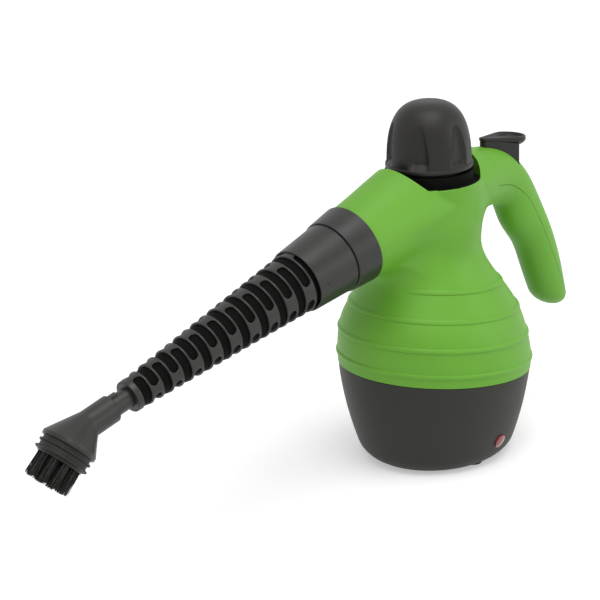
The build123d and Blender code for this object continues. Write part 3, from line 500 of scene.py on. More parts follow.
def cover_outline(gap):
    """Everything on the outer side of the handle's side seam, as an (x, z) outline."""
    runs = length_along(cover_seam)
    marks = np.linspace(0, runs[-1], 48)
    seam = np.stack([smooth_line(runs, [p[i] * mm for p in cover_seam])(marks) for i in (0, 1)], 1)
    along = np.gradient(seam, axis=0)
    along /= np.linalg.norm(along, axis=1, keepdims=True)
    seam += np.stack([-along[:, 1], along[:, 0]], 1) * gap
    seam = [tuple(point) for point in seam] + [tuple(seam[-1] + along[-1] * cover_reach)]
    right = seam[-1][0] + cover_reach
    high = seam[0][1] + cover_reach
    return seam + [(right, seam[-1][1]), (right, high), (seam[0][0] + gap, high)]


def green_shell(plastic):
    """The green moulding and the cover of the handle's back."""
    shell = shell_skin("green_shell", skin_grid, 0.0)
    front = upright(nose_wide(0), nose_len, nose_len + 2 * nose_spare)
    front.transform(nozzle_place)
    carve(shell, front)
    below = bmesh.new()
    bmesh.ops.create_cube(below, size=1)
    tilt = Matrix.Rotation(math.atan(seam_tilt), 4, "Y")
    below.transform(Matrix.Translation((0, 0, base_h)) @ tilt
                    @ Matrix.Translation((0, 0, -below_all / 2)) @ Matrix.Scale(below_all, 4))
    carve(shell, below)
    inside = shell_skin("inside", inside_grid, shell_wall)
    carve(inside, upright(well_r + well_wall, well_floor_z - shell_wall, over_all, cap_x))
    carve(inside, upright(well_r + well_wall, saddle_z - well_wall, over_all, cap_x - saddle))
    hollow = bmesh.new()
    hollow.from_mesh(inside.data)
    bpy.data.objects.remove(inside)
    carve(shell, hollow)
    carve(shell, upright(well_r, well_floor_z, over_all, cap_x))
    carve(shell, upright(well_r, saddle_z, over_all, cap_x - saddle))
    carve(shell, upright(neck_hole_r, well_floor_z - 2 * well_wall, over_all, cap_x))
    spout = upright(spout_hole_r, nose_len / 2, nose_len * 1.2)
    spout.transform(nozzle_place)
    carve(shell, spout)
    above = 2 * plate_tip_z - slot_low_z
    front, rear = slot_x
    slot = new_object("slot", prism(((front, slot_low_z), (rear, slot_low_z), (rear, above), (front, above)),
                                    wedge_half_w + slot_gap))
    carve(slot, teardrop_column(wedge_inset - slot_gap, (slot_low_z - mm, above + mm)), "INTERSECT")
    opening = bmesh.new()
    opening.from_mesh(slot.data)
    bpy.data.objects.remove(slot)
    carve(shell, opening)
    cover = new_object("handle_back", bmesh.new())
    cover.data = shell.data.copy()
    carve(cover, prism(cover_outline(cover_gap), beside_all), "INTERSECT")
    carve(shell, prism(cover_outline(0.0), beside_all))
    fit_out(shell, plastic, stands_for=["body_shell"])
    fit_out(cover, plastic, stands_for=["handle_cover"])
    turn = np.linspace(0, 2 * math.pi, 2 * round_steps, endpoint=False)
    for number, rise in enumerate(rib_rises, 1):
        rows = []
        for share in np.linspace(0, 2 * math.pi, 12, endpoint=False):
            level = base_h + rise * mm + rib_h / 2 * (1 + math.sin(share))
            rows.append(on_body(turn, level, seam_tilt, rib_proud * math.cos(share)))
        fit_out(new_object(f"rib_{number}", skin(rows, loop=True)), plastic)


def dark_cup(plastic):
    """The charcoal cup with its rounded foot, hollow as the real one."""
    turn = np.linspace(0, 2 * math.pi, 2 * round_steps, endpoint=False)
    seam = base_h - cup_gap

    def row(share, drawn):
        return on_body(turn, seam * share, seam_tilt * share ** 2, -drawn)
    rows = []
    for step in range(9):
        angle = math.pi / 2 * step / 8
        height = foot_round * (1 - math.cos(angle))
        rows.append(row(height / seam, foot_round * (1 - math.sin(angle))))
    for share in np.linspace(foot_round / seam, 1, 14)[1:-1]:
        rows.append(row(share, cup_step * share ** 4))
    rows.append(row(1 - cup_edge / seam, cup_step))
    rows.append(row(1, cup_step + cup_edge))
    rows.append(row(1, cup_wall))
    for share in (0.8, 0.6, 0.4, 0.2, 0.1):
        rows.append(row(share, cup_wall))
    rows.append(row(0.05, cup_wall + foot_round / 2))
    cup = new_object("dark_cup", skin(rows))
    return fit_out(cup, plastic, stands_for=["base_cup"])


def nozzle_piece(name, bm, plastic, body="nozzle", stands_for=()):
    """A finished piece of the nozzle's black plastic."""
    return fit_out(new_object(name, bm), plastic, body, stands_for)


def rounded_step(radius, low, high, edge):
    """Outer side of a band with rounded edges, from its top to its foot, as (radius, height)."""
    turns = [math.pi / 8 * step for step in range(5)]
    upper = [(radius - edge * (1 - math.sin(t)), high - edge * (1 - math.cos(t))) for t in turns]
    lower = [(radius - edge * (1 - math.cos(t)), low + edge * (1 - math.sin(t))) for t in turns]
    return upper + lower


def round_edges(profile, edges, steps=4):
    """A closed profile of (radius, height) whose numbered corners are rounded."""
    points = []
    for index, here in enumerate(profile):
        corner = Vector(here)
        before = (Vector(profile[index - 1]) - corner).normalized() * edges.get(index, 0)
        after = (Vector(profile[(index + 1) % len(profile)]) - corner).normalized() * edges.get(index, 0)
        for step in range(steps + 1 if index in edges else 1):
            share = step / steps
            points.append(tuple(corner + before * (1 - share) ** 2 + after * share ** 2))
    return points


# Safety cap: rim, crown, finger grooves and the wall over the plug
cap_rim_r = 28.8 * mm
cap_rim_z = 200.5 * mm
cap_rim_h = 3.0 * mm
cap_top_z = 243.7 * mm
cap_step = 0.9 * mm
cap_square = 2.9
cap_taper = 0.05
cap_inner_r = 23.8 * mm
cap_flange_z = 202.0 * mm
cap_wall = 4.9 * mm
groove_count = 6
groove_turn = math.radians(28.7)
groove_half_w = 7.2 * mm
groove_high = 28.5 * mm
groove_depth = 3.3 * mm
groove_flat = 5
groove_foot = 1.2 * mm


# Trim ring under the cap: inner and outer radius of its column, heights, and the round of its edges
trim_radii = (26.0 * mm, 29.2 * mm)
trim_flange_z = 190.9 * mm
trim_top_z = 198.7 * mm
trim_round = 1.0 * mm


def cap_groove(point):
    """How deep the finger grooves are at a point of the dome."""
    rise = point.z - cap_rim_z - cap_rim_h
    pitch = 2 * math.pi / groove_count
    away = (math.atan2(point.y, point.x) - groove_turn + pitch / 2) % pitch - pitch / 2
    reach = math.hypot(away * cap_rim_r / groove_half_w, max(rise, 0) / groove_high)
    return groove_depth * max(1 - reach ** groove_flat, 0) * min(max(rise / groove_foot, 0), 1)


def trim_ring(plastic):
    """Black ring on the floor of the well, with a low flange out to the well's wall."""
    inner_r, column_r = trim_radii
    outer_r = well_r - nozzle_gap
    profile = round_edges(((inner_r, well_floor_z), (outer_r, well_floor_z), (outer_r, trim_flange_z),
                           (column_r, trim_flange_z), (column_r, trim_top_z), (inner_r, trim_top_z)),
                          {2: trim_round, 3: trim_round, 4: trim_round / 2})
    trim = new_object("trim_ring", turned(profile, Matrix.Translation((cap_x, 0, 0))))
    fit_out(trim, plastic, stands_for=["neck_trim_ring"])


def safety_cap(plastic):
    """Dome of the safety cap, with its rim band and six arched finger grooves."""
    low = cap_rim_z + cap_rim_h
    high = cap_top_z - low
    side_r = cap_rim_r - cap_step
    crown = []
    for turn in np.linspace(math.pi / 2, 0, 57):
        share = math.sin(turn) ** (2 / cap_square)
        radius = side_r * abs(math.cos(turn)) ** (2 / cap_square) * (1 - cap_taper * share)
        crown.append((radius if share < 1 else 0, low + high * share))
    edge = rounded_step(cap_rim_r, cap_rim_z, low, cap_step)
    hollow = [(0, cap_top_z - cap_wall)] + [(r - cap_wall, z - cap_wall) for r, z in crown[16:56:4]]
    inside = [(cap_inner_r, cap_rim_z), (cap_inner_r, cap_flange_z)] + hollow[::-1]
    bm = turned(crown + edge + inside, Matrix.Identity(4), 2 * round_steps)
    for vert in bm.verts:
        around = vert.co.xy.length
        if around > cap_inner_r or vert.co.z > low + high * 0.45 and around > 0:
            vert.co.xy *= 1 - cap_groove(vert.co) / max(around, mm)
    bm.transform(Matrix.Translation((cap_x, 0, 0)))
    return fit_out(new_object("safety_cap", bm), plastic, "cap", ["cap_dome"])


# Thumb button: teardrop plate with a raised rim, sloping to its rear, on a wedge
plate_tip_x = 51.0 * mm
plate_tip_r = 3.2 * mm
plate_rear_x = 77.6 * mm
plate_rear_r = 11.0 * mm
plate_tip_z = 208.4 * mm
plate_rear_z = 204.2 * mm
plate_tip_t = 3.4 * mm
plate_rear_t = 5.2 * mm
dish_tip_depth = 0.7 * mm
dish_rear_depth = 2.8 * mm
wedge_half_w = 10.2 * mm
wedge_inset = 0.5 * mm
wedge_round = 0.8 * mm
button_front_x = 50.0 * mm
button_foot_x = (66.0 * mm, 74.0 * mm)
button_rear_x = 75.8 * mm
button_low_z = 178.5 * mm
wedge_lift = 5.0 * mm
tip_least_r = 0.2 * mm
notch_x = 82.0 * mm
notch_r = 1.8 * mm
notch_depth = 0.9 * mm
# Rows of the plate as an inset in mm with: rise over the under side, drop below the rim, share of the dish
plate_under = ((7.0, -2.6), (4.5, -2.0), (2.4, -0.8), (1.0, 0.5), (0.3, 1.4), (0.0, 2.2))
plate_rim = ((0.0, 0.8), (0.2, 0.3), (0.6, 0.05), (1.0, 0.0), (1.5, 0.05))
plate_dish = ((1.8, 0.2), (2.05, 0.55), (2.5, 0.85), (3.0, 1.0))


def teardrop(inset, count=36):
    """Outline of the button's plate, drawn in by a margin, as (x, y) once round."""
    small = max(plate_tip_r - inset, tip_least_r)
    large = plate_rear_r - inset
    turn = math.acos((large - small) / (plate_rear_x - plate_tip_x))
    rear = [(plate_rear_x, large, t) for t in np.linspace(turn - math.pi, math.pi - turn, 2 * count)]
    tip = [(plate_tip_x, small, t) for t in np.linspace(math.pi - turn, math.pi + turn, count)]
    return [(x + r * math.cos(t), r * math.sin(t)) for x, r, t in rear + tip]


def teardrop_column(inset, heights):
    """The plate's outline as an upright column between two heights."""
    return skin([[Vector((x, y, z)) for x, y in teardrop(inset)] for z in heights])


def thumb_button(plastic):
    """Thumb button: the dished plate with its notch, and the wedge that carries it."""
    start = plate_tip_x - plate_tip_r
    length = plate_rear_x + plate_rear_r - start

    def row(inset, tip, rear):
        slope = (rear - tip) / length
        return [Vector((x, y, tip + slope * (x - start))) for x, y in teardrop(inset * mm)]
    rows = [row(inset, plate_tip_z - plate_tip_t + rise * mm, plate_rear_z - plate_rear_t + rise * mm)
            for inset, rise in plate_under]
    rows += [row(inset, plate_tip_z - drop * mm, plate_rear_z - drop * mm) for inset, drop in plate_rim]
    rows += [row(inset, plate_tip_z - share * dish_tip_depth, plate_rear_z - share * dish_rear_depth)
             for inset, share in plate_dish]
    plate = new_object("button_plate", skin(rows))
    carve(plate, upright(notch_r, plate_rear_z - dish_rear_depth - notch_depth, plate_tip_z, notch_x))
    fit_out(plate, plastic, "button", ["steam_button"])
    front_top = plate_tip_z - plate_tip_t / 2
    rear_top = plate_rear_z - plate_rear_t / 2 - notch_depth
    foot_top = button_low_z + wedge_lift
    wedge = new_object("button_wedge", prism((
        (button_front_x, front_top), (button_front_x, foot_top), (button_foot_x[0], button_low_z),
        (button_foot_x[1], button_low_z), (button_rear_x, foot_top), (button_rear_x, rear_top)),
        wedge_half_w))
    carve(wedge, teardrop_column(wedge_inset, (button_low_z - mm, plate_tip_z)), "INTERSECT")
    bevel = wedge.modifiers.new("bevel", "BEVEL")
    bevel.width = wedge_round
    bevel.segments = 3
    bevel.limit_method = "ANGLE"
    bevel.angle_limit = math.radians(50)
    fit_out(baked(wedge), plastic, "button")


# Nozzle: collar on the nose, sleeve, slotted cone, core and tip, placed along the nozzle axis
collar_back_r = 26.4 * mm
collar_front_r = 24.4 * mm
collar_len = 18.6 * mm
collar_bore_r = 22.2 * mm
sleeve_back_r = 23.5 * mm
sleeve_front_r = 21.1 * mm
sleeve_front = nose_len + 50.0 * mm
sleeve_bore_r = 19.0 * mm
cone_back = nose_len + 41.0 * mm
spigot_back = nose_len + 4.0 * mm
cone_back_r = 20.8 * mm
cone_front_r = 10.0 * mm
cone_front = cone_back + 150.0 * mm
cone_wall = 1.6 * mm
slot_count = 10
slot_first = cone_back + 8.8 * mm
slot_pitch = 14.9 * mm
slot_w = 6.0 * mm
side_slot_turn = math.radians(78)
top_slot_turn = math.radians(75)
slot_round = 0.55 * mm
core_inset = 1.5 * mm
tip_r = 6.3 * mm
tip_bore_r = 2.0 * mm
pip_at = nose_len + 43.0 * mm
pip_r = 1.3 * mm
edge_round = 0.7 * mm


def cone_radius(run):
    share = (run - cone_back) / (cone_front - cone_back)
    return cone_back_r + (cone_front_r - cone_back_r) * share


def collar_and_sleeve(plastic):
    """Fixed collar on the nose, and the plain back of the nozzle with the pip that marks its top."""
    front = nose_len + collar_len
    collar = round_edges(((collar_bore_r, nose_len), (collar_back_r, nose_len), (collar_front_r, front),
                          (collar_bore_r, front)), {1: edge_round / 2, 2: edge_round, 3: edge_round / 2})
    nozzle_piece("collar", turned(collar, nozzle_place), plastic, "root", ["spout_collar"])
    back = front + nozzle_gap
    sleeve = round_edges(((sleeve_bore_r, spigot_back), (collar_bore_r - nozzle_gap, spigot_back),
                          (collar_bore_r - nozzle_gap, back), (sleeve_back_r, back),
                          (sleeve_front_r, sleeve_front), (cone_radius(sleeve_front), sleeve_front),
                          (cone_back_r, cone_back), (sleeve_bore_r, cone_back)),
                         {3: edge_round, 4: edge_round / 2})
    nozzle_piece("sleeve", turned(sleeve, nozzle_place), plastic, stands_for=["nozzle_sleeve"])
    share = (pip_at - front) / (sleeve_front - front)
    seat = sleeve_back_r + (sleeve_front_r - sleeve_back_r) * share
    dome = [(pip_r * math.cos(t), pip_r * math.sin(t)) for t in np.linspace(math.pi / 2, 0, 7)]
    pip = turned([(0, pip_r)] + dome[1:] + [(pip_r, -pip_r), (0, -pip_r)], steps=24)
    pip.transform(nozzle_place @ Matrix.Translation((0, -seat + pip_r / 3, pip_at))
                  @ Matrix.Rotation(math.pi / 2, 4, "X"))
    nozzle_piece("sleeve_pip", pip, plastic)


def slot_loop(at, half, centre, steps=9):
    """Outline of a round-ended slot, as places round and along a flat sheet of the cone's back radius."""
    radius = slot_w / 2
    loop = []
    for side in (1, -1):
        for turn in np.linspace(-math.pi / 2, math.pi / 2, steps):
            run = at + side * radius * math.sin(turn)
            reach = half + radius * (math.cos(turn) - 1) / cone_radius(run)
            loop.append(((centre + side * reach) * cone_back_r, run))
    return loop


def slotted_cone(plastic):
    """Half of the cone's wall as a flat sheet with round-edged slots, wrapped round the axis and mirrored."""
    spare = slot_pitch
    reach = math.pi * cone_back_r
    loops = [[(-spare, cone_back), (reach + spare, cone_back), (reach + spare, cone_front),
              (-spare, cone_front)]]
    for index in range(slot_count):
        at = slot_first + index * slot_pitch
        loops.append(slot_loop(at, side_slot_turn, math.pi / 2))
        if index < slot_count - 1:
            loops += [half_slot(at + slot_pitch / 2, spare), [(reach - x, run) for x, run in
                                                              half_slot(at + slot_pitch / 2, spare)]]
    sheet = bpy.data.curves.new("sheet", "CURVE")
    sheet.dimensions = "2D"
    sheet.fill_mode = "BOTH"
    sheet.extrude = cone_wall / 2 - slot_round
    sheet.bevel_depth = slot_round
    sheet.offset = -slot_round
    sheet.bevel_resolution = 2
    for loop in loops:
        spline = sheet.splines.new("POLY")
        spline.points.add(len(loop) - 1)
        for point, (x, y) in zip(spline.points, loop):
            point.co = (x, y, 0, 1)
        spline.use_cyclic_u = True
    flat = baked_curve(sheet)
    bmesh.ops.remove_doubles(flat, verts=flat.verts, dist=merge_within)
    for step in range(round_steps // 2 + 1):
        ends = {"clear_inner": step == 0, "clear_outer": step == round_steps // 2}
        bmesh.ops.bisect_plane(flat, geom=flat.verts[:] + flat.edges[:] + flat.faces[:], dist=0.0001 * mm,
                               plane_co=(reach * step * 2 / round_steps, 0, 0), plane_no=(1, 0, 0), **ends)
    for vert in flat.verts:
        x, run, out = vert.co
        radius = cone_radius(run) - cone_wall / 2 + out
        vert.co = (radius * math.cos(x / cone_back_r), -radius * math.sin(x / cone_back_r), run)
    half = flat.verts[:] + flat.edges[:] + flat.faces[:]
    bmesh.ops.mirror(flat, geom=half, axis="Y", merge_dist=2 * merge_within)
    bmesh.ops.recalc_face_normals(flat, faces=flat.faces)
    flat.transform(nozzle_place)
    nozzle_piece("slotted_cone", flat, plastic, stands_for=["nozzle_cone"])
    end_z = cone_front - 2 * cone_wall
    end = round_edges(((tip_r, end_z), (cone_front_r - mm, end_z), (cone_front_r, end_z),
                       (cone_front_r, cone_front), (tip_r, cone_front)), {3: edge_round})
    nozzle_piece("cone_end", turned(end, nozzle_place), plastic)


def half_slot(at, spare):
    """The top slot's half on the sheet, run out past the sheet's cut."""
    return [(x if x > 0 else -spare / 2, run) for x, run in slot_loop(at, top_slot_turn, 0)]


def baked_curve(curve):
    """A curve's filled mesh as a bmesh."""
    flat = bpy.data.objects.new("flat", curve)
    bpy.context.scene.collection.objects.link(flat)
    mesh = bpy.data.meshes.new_from_object(flat.evaluated_get(bpy.context.evaluated_depsgraph_get()))
    bpy.data.objects.remove(flat)
    bm = bmesh.new()
    bm.from_mesh(mesh)
    bpy.data.meshes.remove(mesh)
    return bm


def inner_core(plastic):
    """Steam tube inside the slotted cone: its real black is deepened to near black as painted shade behind
    the slots.
    """
    front = cone_front - 2 * cone_wall
    profile = ((tip_bore_r, cone_back), (cone_back_r - core_inset, cone_back),
               (cone_radius(front) - core_inset, front), (tip_bore_r, front))
    nozzle_piece("inner_core", turned(profile, nozzle_place), plastic, stands_for=["nozzle_core"])


# Brush: socket on the tip, bent funnel, rubber fins and bristles
socket_back = cone_front + 12.5 * mm
socket_r = 8.5 * mm
funnel_back = socket_back + 17.5 * mm
bend_at = funnel_back + 8.6 * mm
brush_bend = math.radians(30)
rim_at = 7.9 * mm
rim_t = 2.4 * mm
brush_rim_r = 17.1 * mm
hub_r = 14.2 * mm
hub_front = 18.7 * mm
fin_places = (13.3 * mm, 17.6 * mm)
fin_radii = (16.6 * mm, 16.8 * mm)
fin_t = 1.3 * mm
fin_sleeve_t = 1.0 * mm
backing_t = 1.2 * mm
bristle_tip = 35.2 * mm
tuft_rings = ((6.0 * mm, 7), (11.4 * mm, 10))
tuft_r = 2.2 * mm
tuft_strands = 76
strand_r = 0.17 * mm
strand_short = 2.2 * mm
strand_lean = (0.01, 0.02)
strand_sway = 0.03
lean_reach = 10.0 * mm
brush_place = nozzle_place @ Matrix.Translation((0, 0, bend_at)) @ Matrix.Rotation(-brush_bend, 4, "Y")


def brush_head(plastic):
    """Socket and bent funnel of the brush, one smooth skin from the bore round to the hub."""
    turn = np.linspace(0, 2 * math.pi, round_steps, endpoint=False)

    def circle(place, radius, at):
        return [place @ Vector((radius * math.cos(t), radius * math.sin(t), at)) for t in turn]
    bore = tip_r + nozzle_gap
    rows = [circle(nozzle_place, bore, funnel_back), circle(nozzle_place, bore, socket_back)]
    for step in range(5):
        turned_by = math.pi / 8 * step
        rows.append(circle(nozzle_place, socket_r - edge_round * (1 - math.sin(turned_by)),
                           socket_back + edge_round * (1 - math.cos(turned_by))))
    rear = circle(nozzle_place, socket_r, funnel_back)
    rows.append(rear)
    rim = circle(brush_place, brush_rim_r, rim_at)
    for share in np.linspace(0, 1, 14)[1:-1]:
        eased = share + 0.1 * math.sin(2 * math.pi * share) / math.pi * (1 - share)
        rows.append([a.lerp(b, eased) for a, b in zip(rear, rim)])
    rows.append(rim)
    for step in range(1, 5):
        turned_by = math.pi / 8 * step
        rows.append(circle(brush_place, brush_rim_r - edge_round * (1 - math.cos(turned_by)),
                           rim_at + rim_t - edge_round * (1 - math.sin(turned_by))))
    rows.append(circle(brush_place, hub_r, rim_at + rim_t))
    rows.append(circle(brush_place, hub_r, hub_front))
    nozzle_piece("brush_head", skin(rows), plastic, "brush", ["brush_body"])


def rubber_fins(rubber):
    """Rubber sleeve with two thin round-edged fins."""
    low = rim_at + rim_t
    profile = [(hub_r, hub_front), (hub_r, low), (hub_r + fin_sleeve_t, low)]
    for place, radius in zip(fin_places, fin_radii):
        half = fin_t / 2
        profile += [(hub_r + fin_sleeve_t, place - half)]
        profile += [(radius - half + half * math.cos(t), place + half * math.sin(t))
                    for t in np.linspace(-math.pi / 2, math.pi / 2, 7)]
        profile += [(hub_r + fin_sleeve_t, place + half)]
    profile[-1] = (hub_r + fin_sleeve_t, max(hub_front, fin_places[1] + fin_t / 2))
    fins = new_object("rubber_fins", turned(profile, brush_place))
    fit_out(fins, rubber, "brush", ["brush_fins"])


def bristles(nylon):
    """Backing disc and tufts of fine tapered strands that lean a little outwards."""
    chance = random.Random(7)
    root = hub_front + backing_t
    edge = backing_t / 4
    bm = turned(((0, hub_front), (hub_r, hub_front), (hub_r, root - edge), (hub_r - edge, root), (0, root)))
    for ring_r, count in tuft_rings:
        for tuft in range(count):
            angle = 2 * math.pi * tuft / count
            middle = Vector((ring_r * math.cos(angle), ring_r * math.sin(angle), root))
            for _ in range(tuft_strands):
                way = chance.uniform(0, 2 * math.pi)
                off = tuft_r * math.sqrt(chance.random())
                length = bristle_tip - root - chance.random() ** 2 * strand_short
                made = bmesh.ops.create_cone(bm, segments=4, radius1=strand_r, radius2=strand_r * 0.6,
                                             depth=length, cap_ends=True)["verts"]
                lean = Matrix.Rotation(chance.gauss(*strand_lean) * ring_r / lean_reach, 4, "Y")
                sway = Matrix.Rotation(chance.gauss(0, strand_sway), 4, "X")
                place = (Matrix.Translation(middle + Vector((off * math.cos(way), off * math.sin(way), 0)))
                         @ Matrix.Rotation(angle, 4, "Z") @ lean @ sway @ Matrix.Rotation(way, 4, "Z")
                         @ Matrix.Translation((0, 0, length / 2 - backing_t / 2)))
                bmesh.ops.transform(bm, matrix=place, verts=made)
    bm.transform(brush_place)
    fit_out(new_object("bristles", bm), nylon, "brush", ["brush_bristles"])


# Springs, each a plain copy of the node's coil: node, joint, body, and how far the moving seat travels
springs = (("relief_spring", "relief_lift", "relief", 1.5 * mm),
           ("valve_spring", "stem_lift", "stem", 2.8 * mm),
           ("button_spring", "lever_rock", "root", 2.9 * mm))


def closing_spring(steel, node, joint, body, travel):
    """The node's coil as a piece of its own, with its finish, on the body."""
    coil = bpy.data.objects.new(f"{node}_coil", frame["nodes"][node].data.copy())
    bpy.context.scene.collection.objects.link(coil)
    fit_out(coil, steel, body, [node])
    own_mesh(coil)


# Camera at the photograph's viewing angle, fitted to the rings of body and cap and the nozzle's axis
camera_turn = math.radians(-42.713)
camera_rise = math.radians(19.091)
camera_roll = math.radians(-2.288)
camera_reach = 1142.1 * mm
camera_target = Vector((-122.2, 0, 138.9)) * mm
camera_lens = 110.2


def place_camera():
    towards = Vector((math.sin(camera_turn) * math.cos(camera_rise),
                      -math.cos(camera_turn) * math.cos(camera_rise), math.sin(camera_rise)))
    level = Vector((math.cos(camera_turn), math.sin(camera_turn), 0))
    upward = towards.cross(level)
    right = level * math.cos(camera_roll) + upward * math.sin(camera_roll)
    top = upward * math.cos(camera_roll) - level * math.sin(camera_roll)
    camera = bpy.data.objects.new("camera", bpy.data.cameras.new("camera"))
    camera.data.lens = camera_lens
    turn = Matrix((right, top, towards)).transposed().to_4x4()
    camera.matrix_world = Matrix.Translation(camera_target + camera_reach * towards) @ turn
    bpy.context.scene.collection.objects.link(camera)
    bpy.context.scene.camera = camera


def soft_lamp(name, place, target, size, power):
    """A square soft box that faces the object."""
    lamp = bpy.data.objects.new(name, bpy.data.lights.new(name, "AREA"))
    lamp.data.size = size
    lamp.data.energy = power
    way = Vector(target) - Vector(place)
    lamp.matrix_world = Matrix.Translation(place) @ way.to_track_quat("-Z", "Y").to_matrix().to_4x4()
    bpy.context.scene.collection.objects.link(lamp)


def linear(text):
    """An sRGB hex colour as linear red, green, blue and one."""
    shares = [int(text[i:i + 2], 16) / 255 for i in (1, 3, 5)]
    return [c / 12.92 if c <= 0.04045 else ((c + 0.055) / 1.055) ** 2.4 for c in shares] + [1.0]


def add(tree, kind, settings, links=None):
    """A node with its settings and what feeds it."""
    node = tree.nodes.new(kind)
    for name, value in settings.items():
        if isinstance(name, int) or name in node.inputs:
            node.inputs[name].default_value = value
        else:
            setattr(node, name, value)
    for name, source in (links or {}).items():
        tree.links.new(source, node.inputs[name])
    return node


def finish(name, light, dark, patch_mm, rough, grain_mm, grain_depth_mm, shader=None):
    """A surface whose colour and gloss wander softly, with a fine grain."""
    material = bpy.data.materials.new(name)
    material.use_nodes = True
    tree = material.node_tree
    tree.nodes.clear()
    where = add(tree, "ShaderNodeTexCoord", {}).outputs["Object"]
    patches = add(tree, "ShaderNodeTexNoise", {"Scale": 1000 / patch_mm, "Detail": 3.0}, {"Vector": where})
    colour = add(tree, "ShaderNodeValToRGB", {}, {"Fac": patches.outputs["Fac"]})
    colour.color_ramp.elements[0].position = 0.35
    colour.color_ramp.elements[0].color = linear(dark)
    colour.color_ramp.elements[1].position = 0.65
    colour.color_ramp.elements[1].color = linear(light)
    gloss = add(tree, "ShaderNodeMapRange", {"From Min": 0.3, "From Max": 0.7, "To Min": rough[0],
                                             "To Max": rough[1]}, {"Value": patches.outputs["Fac"]})
    grain = add(tree, "ShaderNodeTexNoise", {"Scale": 1000 / grain_mm, "Detail": 2.0}, {"Vector": where})
    bump = add(tree, "ShaderNodeBump", {"Strength": 1.0, "Distance": grain_depth_mm * mm},
               {"Height": grain.outputs["Fac"]})
    surface = add(tree, "ShaderNodeBsdfPrincipled", shader or {}, {
        "Base Color": colour.outputs["Color"], "Roughness": gloss.outputs["Result"],
        "Normal": bump.outputs["Normal"]})
    add(tree, "ShaderNodeOutputMaterial", {}, {"Surface": surface.outputs["BSDF"]})
    return material


# Studio light: strength of the room, then name, place, size in metres and power in watts of each soft box
room_light = 0.38
floor_lift = 0.4
lamp_target = (-0.05, 0, 0.14)
lamps = (("key", (-0.7, -1.1, 3.8), 2.8, 86), ("side", (2.0, -3.0, 1.2), 1.6, 22))


def seen_rays(tree):
    """One for rays that show the surroundings: the camera's own, in gloss, and through clear plastic."""
    ray = add(tree, "ShaderNodeLightPath", {}).outputs
    gloss = add(tree, "ShaderNodeMath", {"operation": "MAXIMUM"}, {0: ray["Is Glossy Ray"],
                                                                   1: ray["Is Transmission Ray"]})
    return add(tree, "ShaderNodeMath", {"operation": "MAXIMUM"}, {0: ray["Is Camera Ray"],
                                                                  1: gloss.outputs[0]}).outputs[0]


def brighten(tree):
    """Lifts the floor to white where it is seen, and leaves its shadows and its light on the object."""
    surface = next(node for node in tree.nodes if node.type == "BSDF_PRINCIPLED")
    output = next(node for node in tree.nodes if node.type == "OUTPUT_MATERIAL")
    lift = add(tree, "ShaderNodeMath", {"operation": "MULTIPLY", 1: floor_lift}, {0: seen_rays(tree)})
    glow = add(tree, "ShaderNodeEmission", {}, {"Strength": lift.outputs[0]})
    both = add(tree, "ShaderNodeAddShader", {}, {0: surface.outputs[0], 1: glow.outputs[0]})
    tree.links.new(both.outputs[0], output.inputs["Surface"])


def stage():
    """Plain pale floor, white world and soft lamps."""
    bm = bmesh.new()
    bmesh.ops.create_grid(bm, x_segments=1, y_segments=1, size=3)
    floor = new_object("floor", bm)
    material = finish("pale_floor", "#F2F2F2", "#F0F0F0", 400, (0.6, 0.7), 3, 0.01)
    brighten(material.node_tree)
    floor.data.materials.append(material)
    world = bpy.data.worlds.new("studio")
    bpy.context.scene.world = world
    world.use_nodes = True
    tree = world.node_tree
    tree.nodes.clear()
    plain = add(tree, "ShaderNodeBackground", {"Color": (1, 1, 1, 1), "Strength": room_light})
    white = add(tree, "ShaderNodeBackground", {"Color": (1, 1, 1, 1), "Strength": 1.0})
    mix = add(tree, "ShaderNodeMixShader", {}, {0: seen_rays(tree), 1: plain.outputs[0], 2: white.outputs[0]})
    add(tree, "ShaderNodeOutputWorld", {}, {"Surface": mix.outputs[0]})
    for name, place, size, power in lamps:
        soft_lamp(name, place, lamp_target, size, power)


metal = {"Metallic": 1.0}

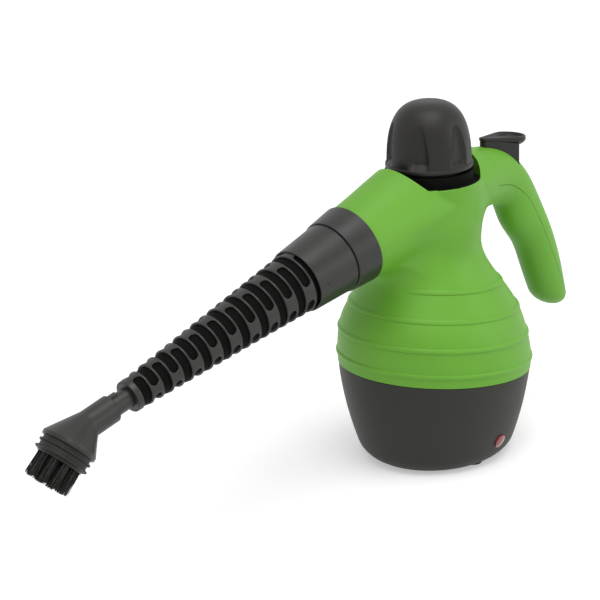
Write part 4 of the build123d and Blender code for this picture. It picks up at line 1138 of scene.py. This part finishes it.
# Finishes by material slot: name, light and dark colour, size of the patches, roughness, size and depth
# of the grain in mm, and the shader's own settings
finishes = {
    # Moulded ABS from a spark-eroded tool: a soft sheen broken up by a fine pebble
    "green_shell": ("pebbled_green_abs", "#6FB233", "#69AC2D", 60, (0.46, 0.54), 0.9, 0.03, {"IOR": 1.45}),
    # Moulded polypropylene, grained: dull and slightly brown
    "dark_base": ("grained_charcoal_pp", "#2A2A24", "#262621", 45, (0.5, 0.58), 0.8, 0.035, {"IOR": 1.4}),
    # Moulded ABS, satin: broad soft highlights along the grooves
    "black_plastic": ("satin_black_abs", "#22201E", "#1D1C1A", 25, (0.42, 0.5), 0.6, 0.012, {"IOR": 1.39}),
    # Glass-filled nylon that stands steam: slightly mottled satin
    "nozzle_plastic": ("heatproof_black_nylon", "#282826", "#232321", 18, (0.34, 0.44), 0.5, 0.014,
                       {"IOR": 1.45}),
    # Unpolished black nylon, dull, its colour darkened to near black as painted shade: the inside of the cone
    # behind the slots and the ring in the well
    "matt_plastic": ("shade_darkened_black_nylon", "#10100F", "#0B0B0A", 12, (0.7, 0.8), 0.5, 0.01, {"IOR": 1.15}),
    # Moulded rubber: no clear highlight
    "rubber_black": ("moulded_black_rubber", "#242422", "#1F1F1D", 12, (0.5, 0.6), 0.4, 0.02, {"IOR": 1.4}),
    # Moulded silicone, brick red
    "seal_silicone": ("red_silicone", "#9C3A2A", "#8E3226", 8, (0.42, 0.5), 0.4, 0.01, {"IOR": 1.41}),
    # Moulded silicone, grey white
    "gasket_silicone": ("pale_silicone", "#C9C6BE", "#BDBAB2", 12, (0.45, 0.55), 0.4, 0.01, {"IOR": 1.41}),
    # Polished polycarbonate: deep red with a hard little highlight
    "lens_red": ("ruby_polycarbonate", "#B3262E", "#8C1820", 3, (0.08, 0.14), 1.5, 0.03,
                 {"IOR": 1.585, "Transmission Weight": 0.25, "Coat Weight": 0.5}),
    # Drawn glass tube
    "lamp_glass": ("lamp_tube_glass", "#E9C9B4", "#E2BEA6", 6, (0.03, 0.06), 1.0, 0.005,
                   {"IOR": 1.5, "Transmission Weight": 0.9}),
    # Sand-cast aluminium: pale grey, coarse grain
    "boiler_aluminium": ("cast_aluminium", "#C4C5C2", "#B2B3B0", 10, (0.42, 0.55), 0.8, 0.05, metal),
    # Zinc-plated steel: cool and slightly patchy
    "steel": ("zinc_plated_steel", "#BFC1C2", "#AAADAF", 4, (0.28, 0.4), 0.3, 0.008, metal),
    # Annealed tube steel of the heater: warm grey with heat marks
    "heater_steel": ("annealed_heater_steel", "#8F877E", "#6F675F", 7, (0.38, 0.5), 0.3, 0.01, metal),
    # Turned brass
    "brass": ("turned_brass", "#D0AE62", "#BF9A4E", 6, (0.22, 0.34), 0.25, 0.006, metal),
    # Drawn stainless wire
    "spring_steel": ("drawn_spring_wire", "#C8C9CA", "#B5B6B8", 3, (0.2, 0.3), 0.2, 0.004, metal),
    # Natural polyamide: creamy and dull
    "terminal_plastic": ("natural_polyamide", "#DDD8C8", "#D2CCBA", 8, (0.45, 0.55), 0.4, 0.012,
                         {"IOR": 1.53}),
    # Translucent silicone hose
    "hose_silicone": ("milky_silicone_hose", "#D9D8CE", "#CCCBC0", 8, (0.4, 0.5), 0.5, 0.01,
                      {"IOR": 1.41, "Transmission Weight": 0.2}),
    # Extruded nylon filament: each strand catches a thin light line
    "bristle_nylon": ("nylon_filament", "#2A2A27", "#1A1A18", 2, (0.3, 0.42), 0.3, 0.004, {"IOR": 1.4}),
}
dressed = ("body_shell", "base_cup", "handle_cover", "neck_trim_ring", "cap_dome", "steam_button",
           "spout_collar", "nozzle_sleeve", "nozzle_cone", "nozzle_core", "brush_body", "brush_fins",
           "brush_bristles", "relief_spring", "valve_spring", "button_spring")

bpy.context.scene.view_settings.view_transform = "Standard"
looks = {slot: finish(*settings) for slot, settings in finishes.items()}
place_camera()
stage()
green_shell(looks["green_shell"])
dark_cup(looks["dark_base"])
# The ring in the well takes the near-black finish: black nylon darkened further as painted shade of the well.
trim_ring(looks["matt_plastic"])
safety_cap(looks["black_plastic"])
thumb_button(looks["black_plastic"])
collar_and_sleeve(looks["nozzle_plastic"])
slotted_cone(looks["nozzle_plastic"])
inner_core(looks["matt_plastic"])
brush_head(looks["nozzle_plastic"])
rubber_fins(looks["rubber_black"])
bristles(looks["bristle_nylon"])
for spring in springs:
    closing_spring(looks["spring_steel"], *spring)

for part in frame["record"]["subparts"]:
    if part["node"] not in dressed:
        node = frame["nodes"][part["node"]]
        node.data.materials.clear()
        node.data.materials.append(looks[part["material_slot"]])
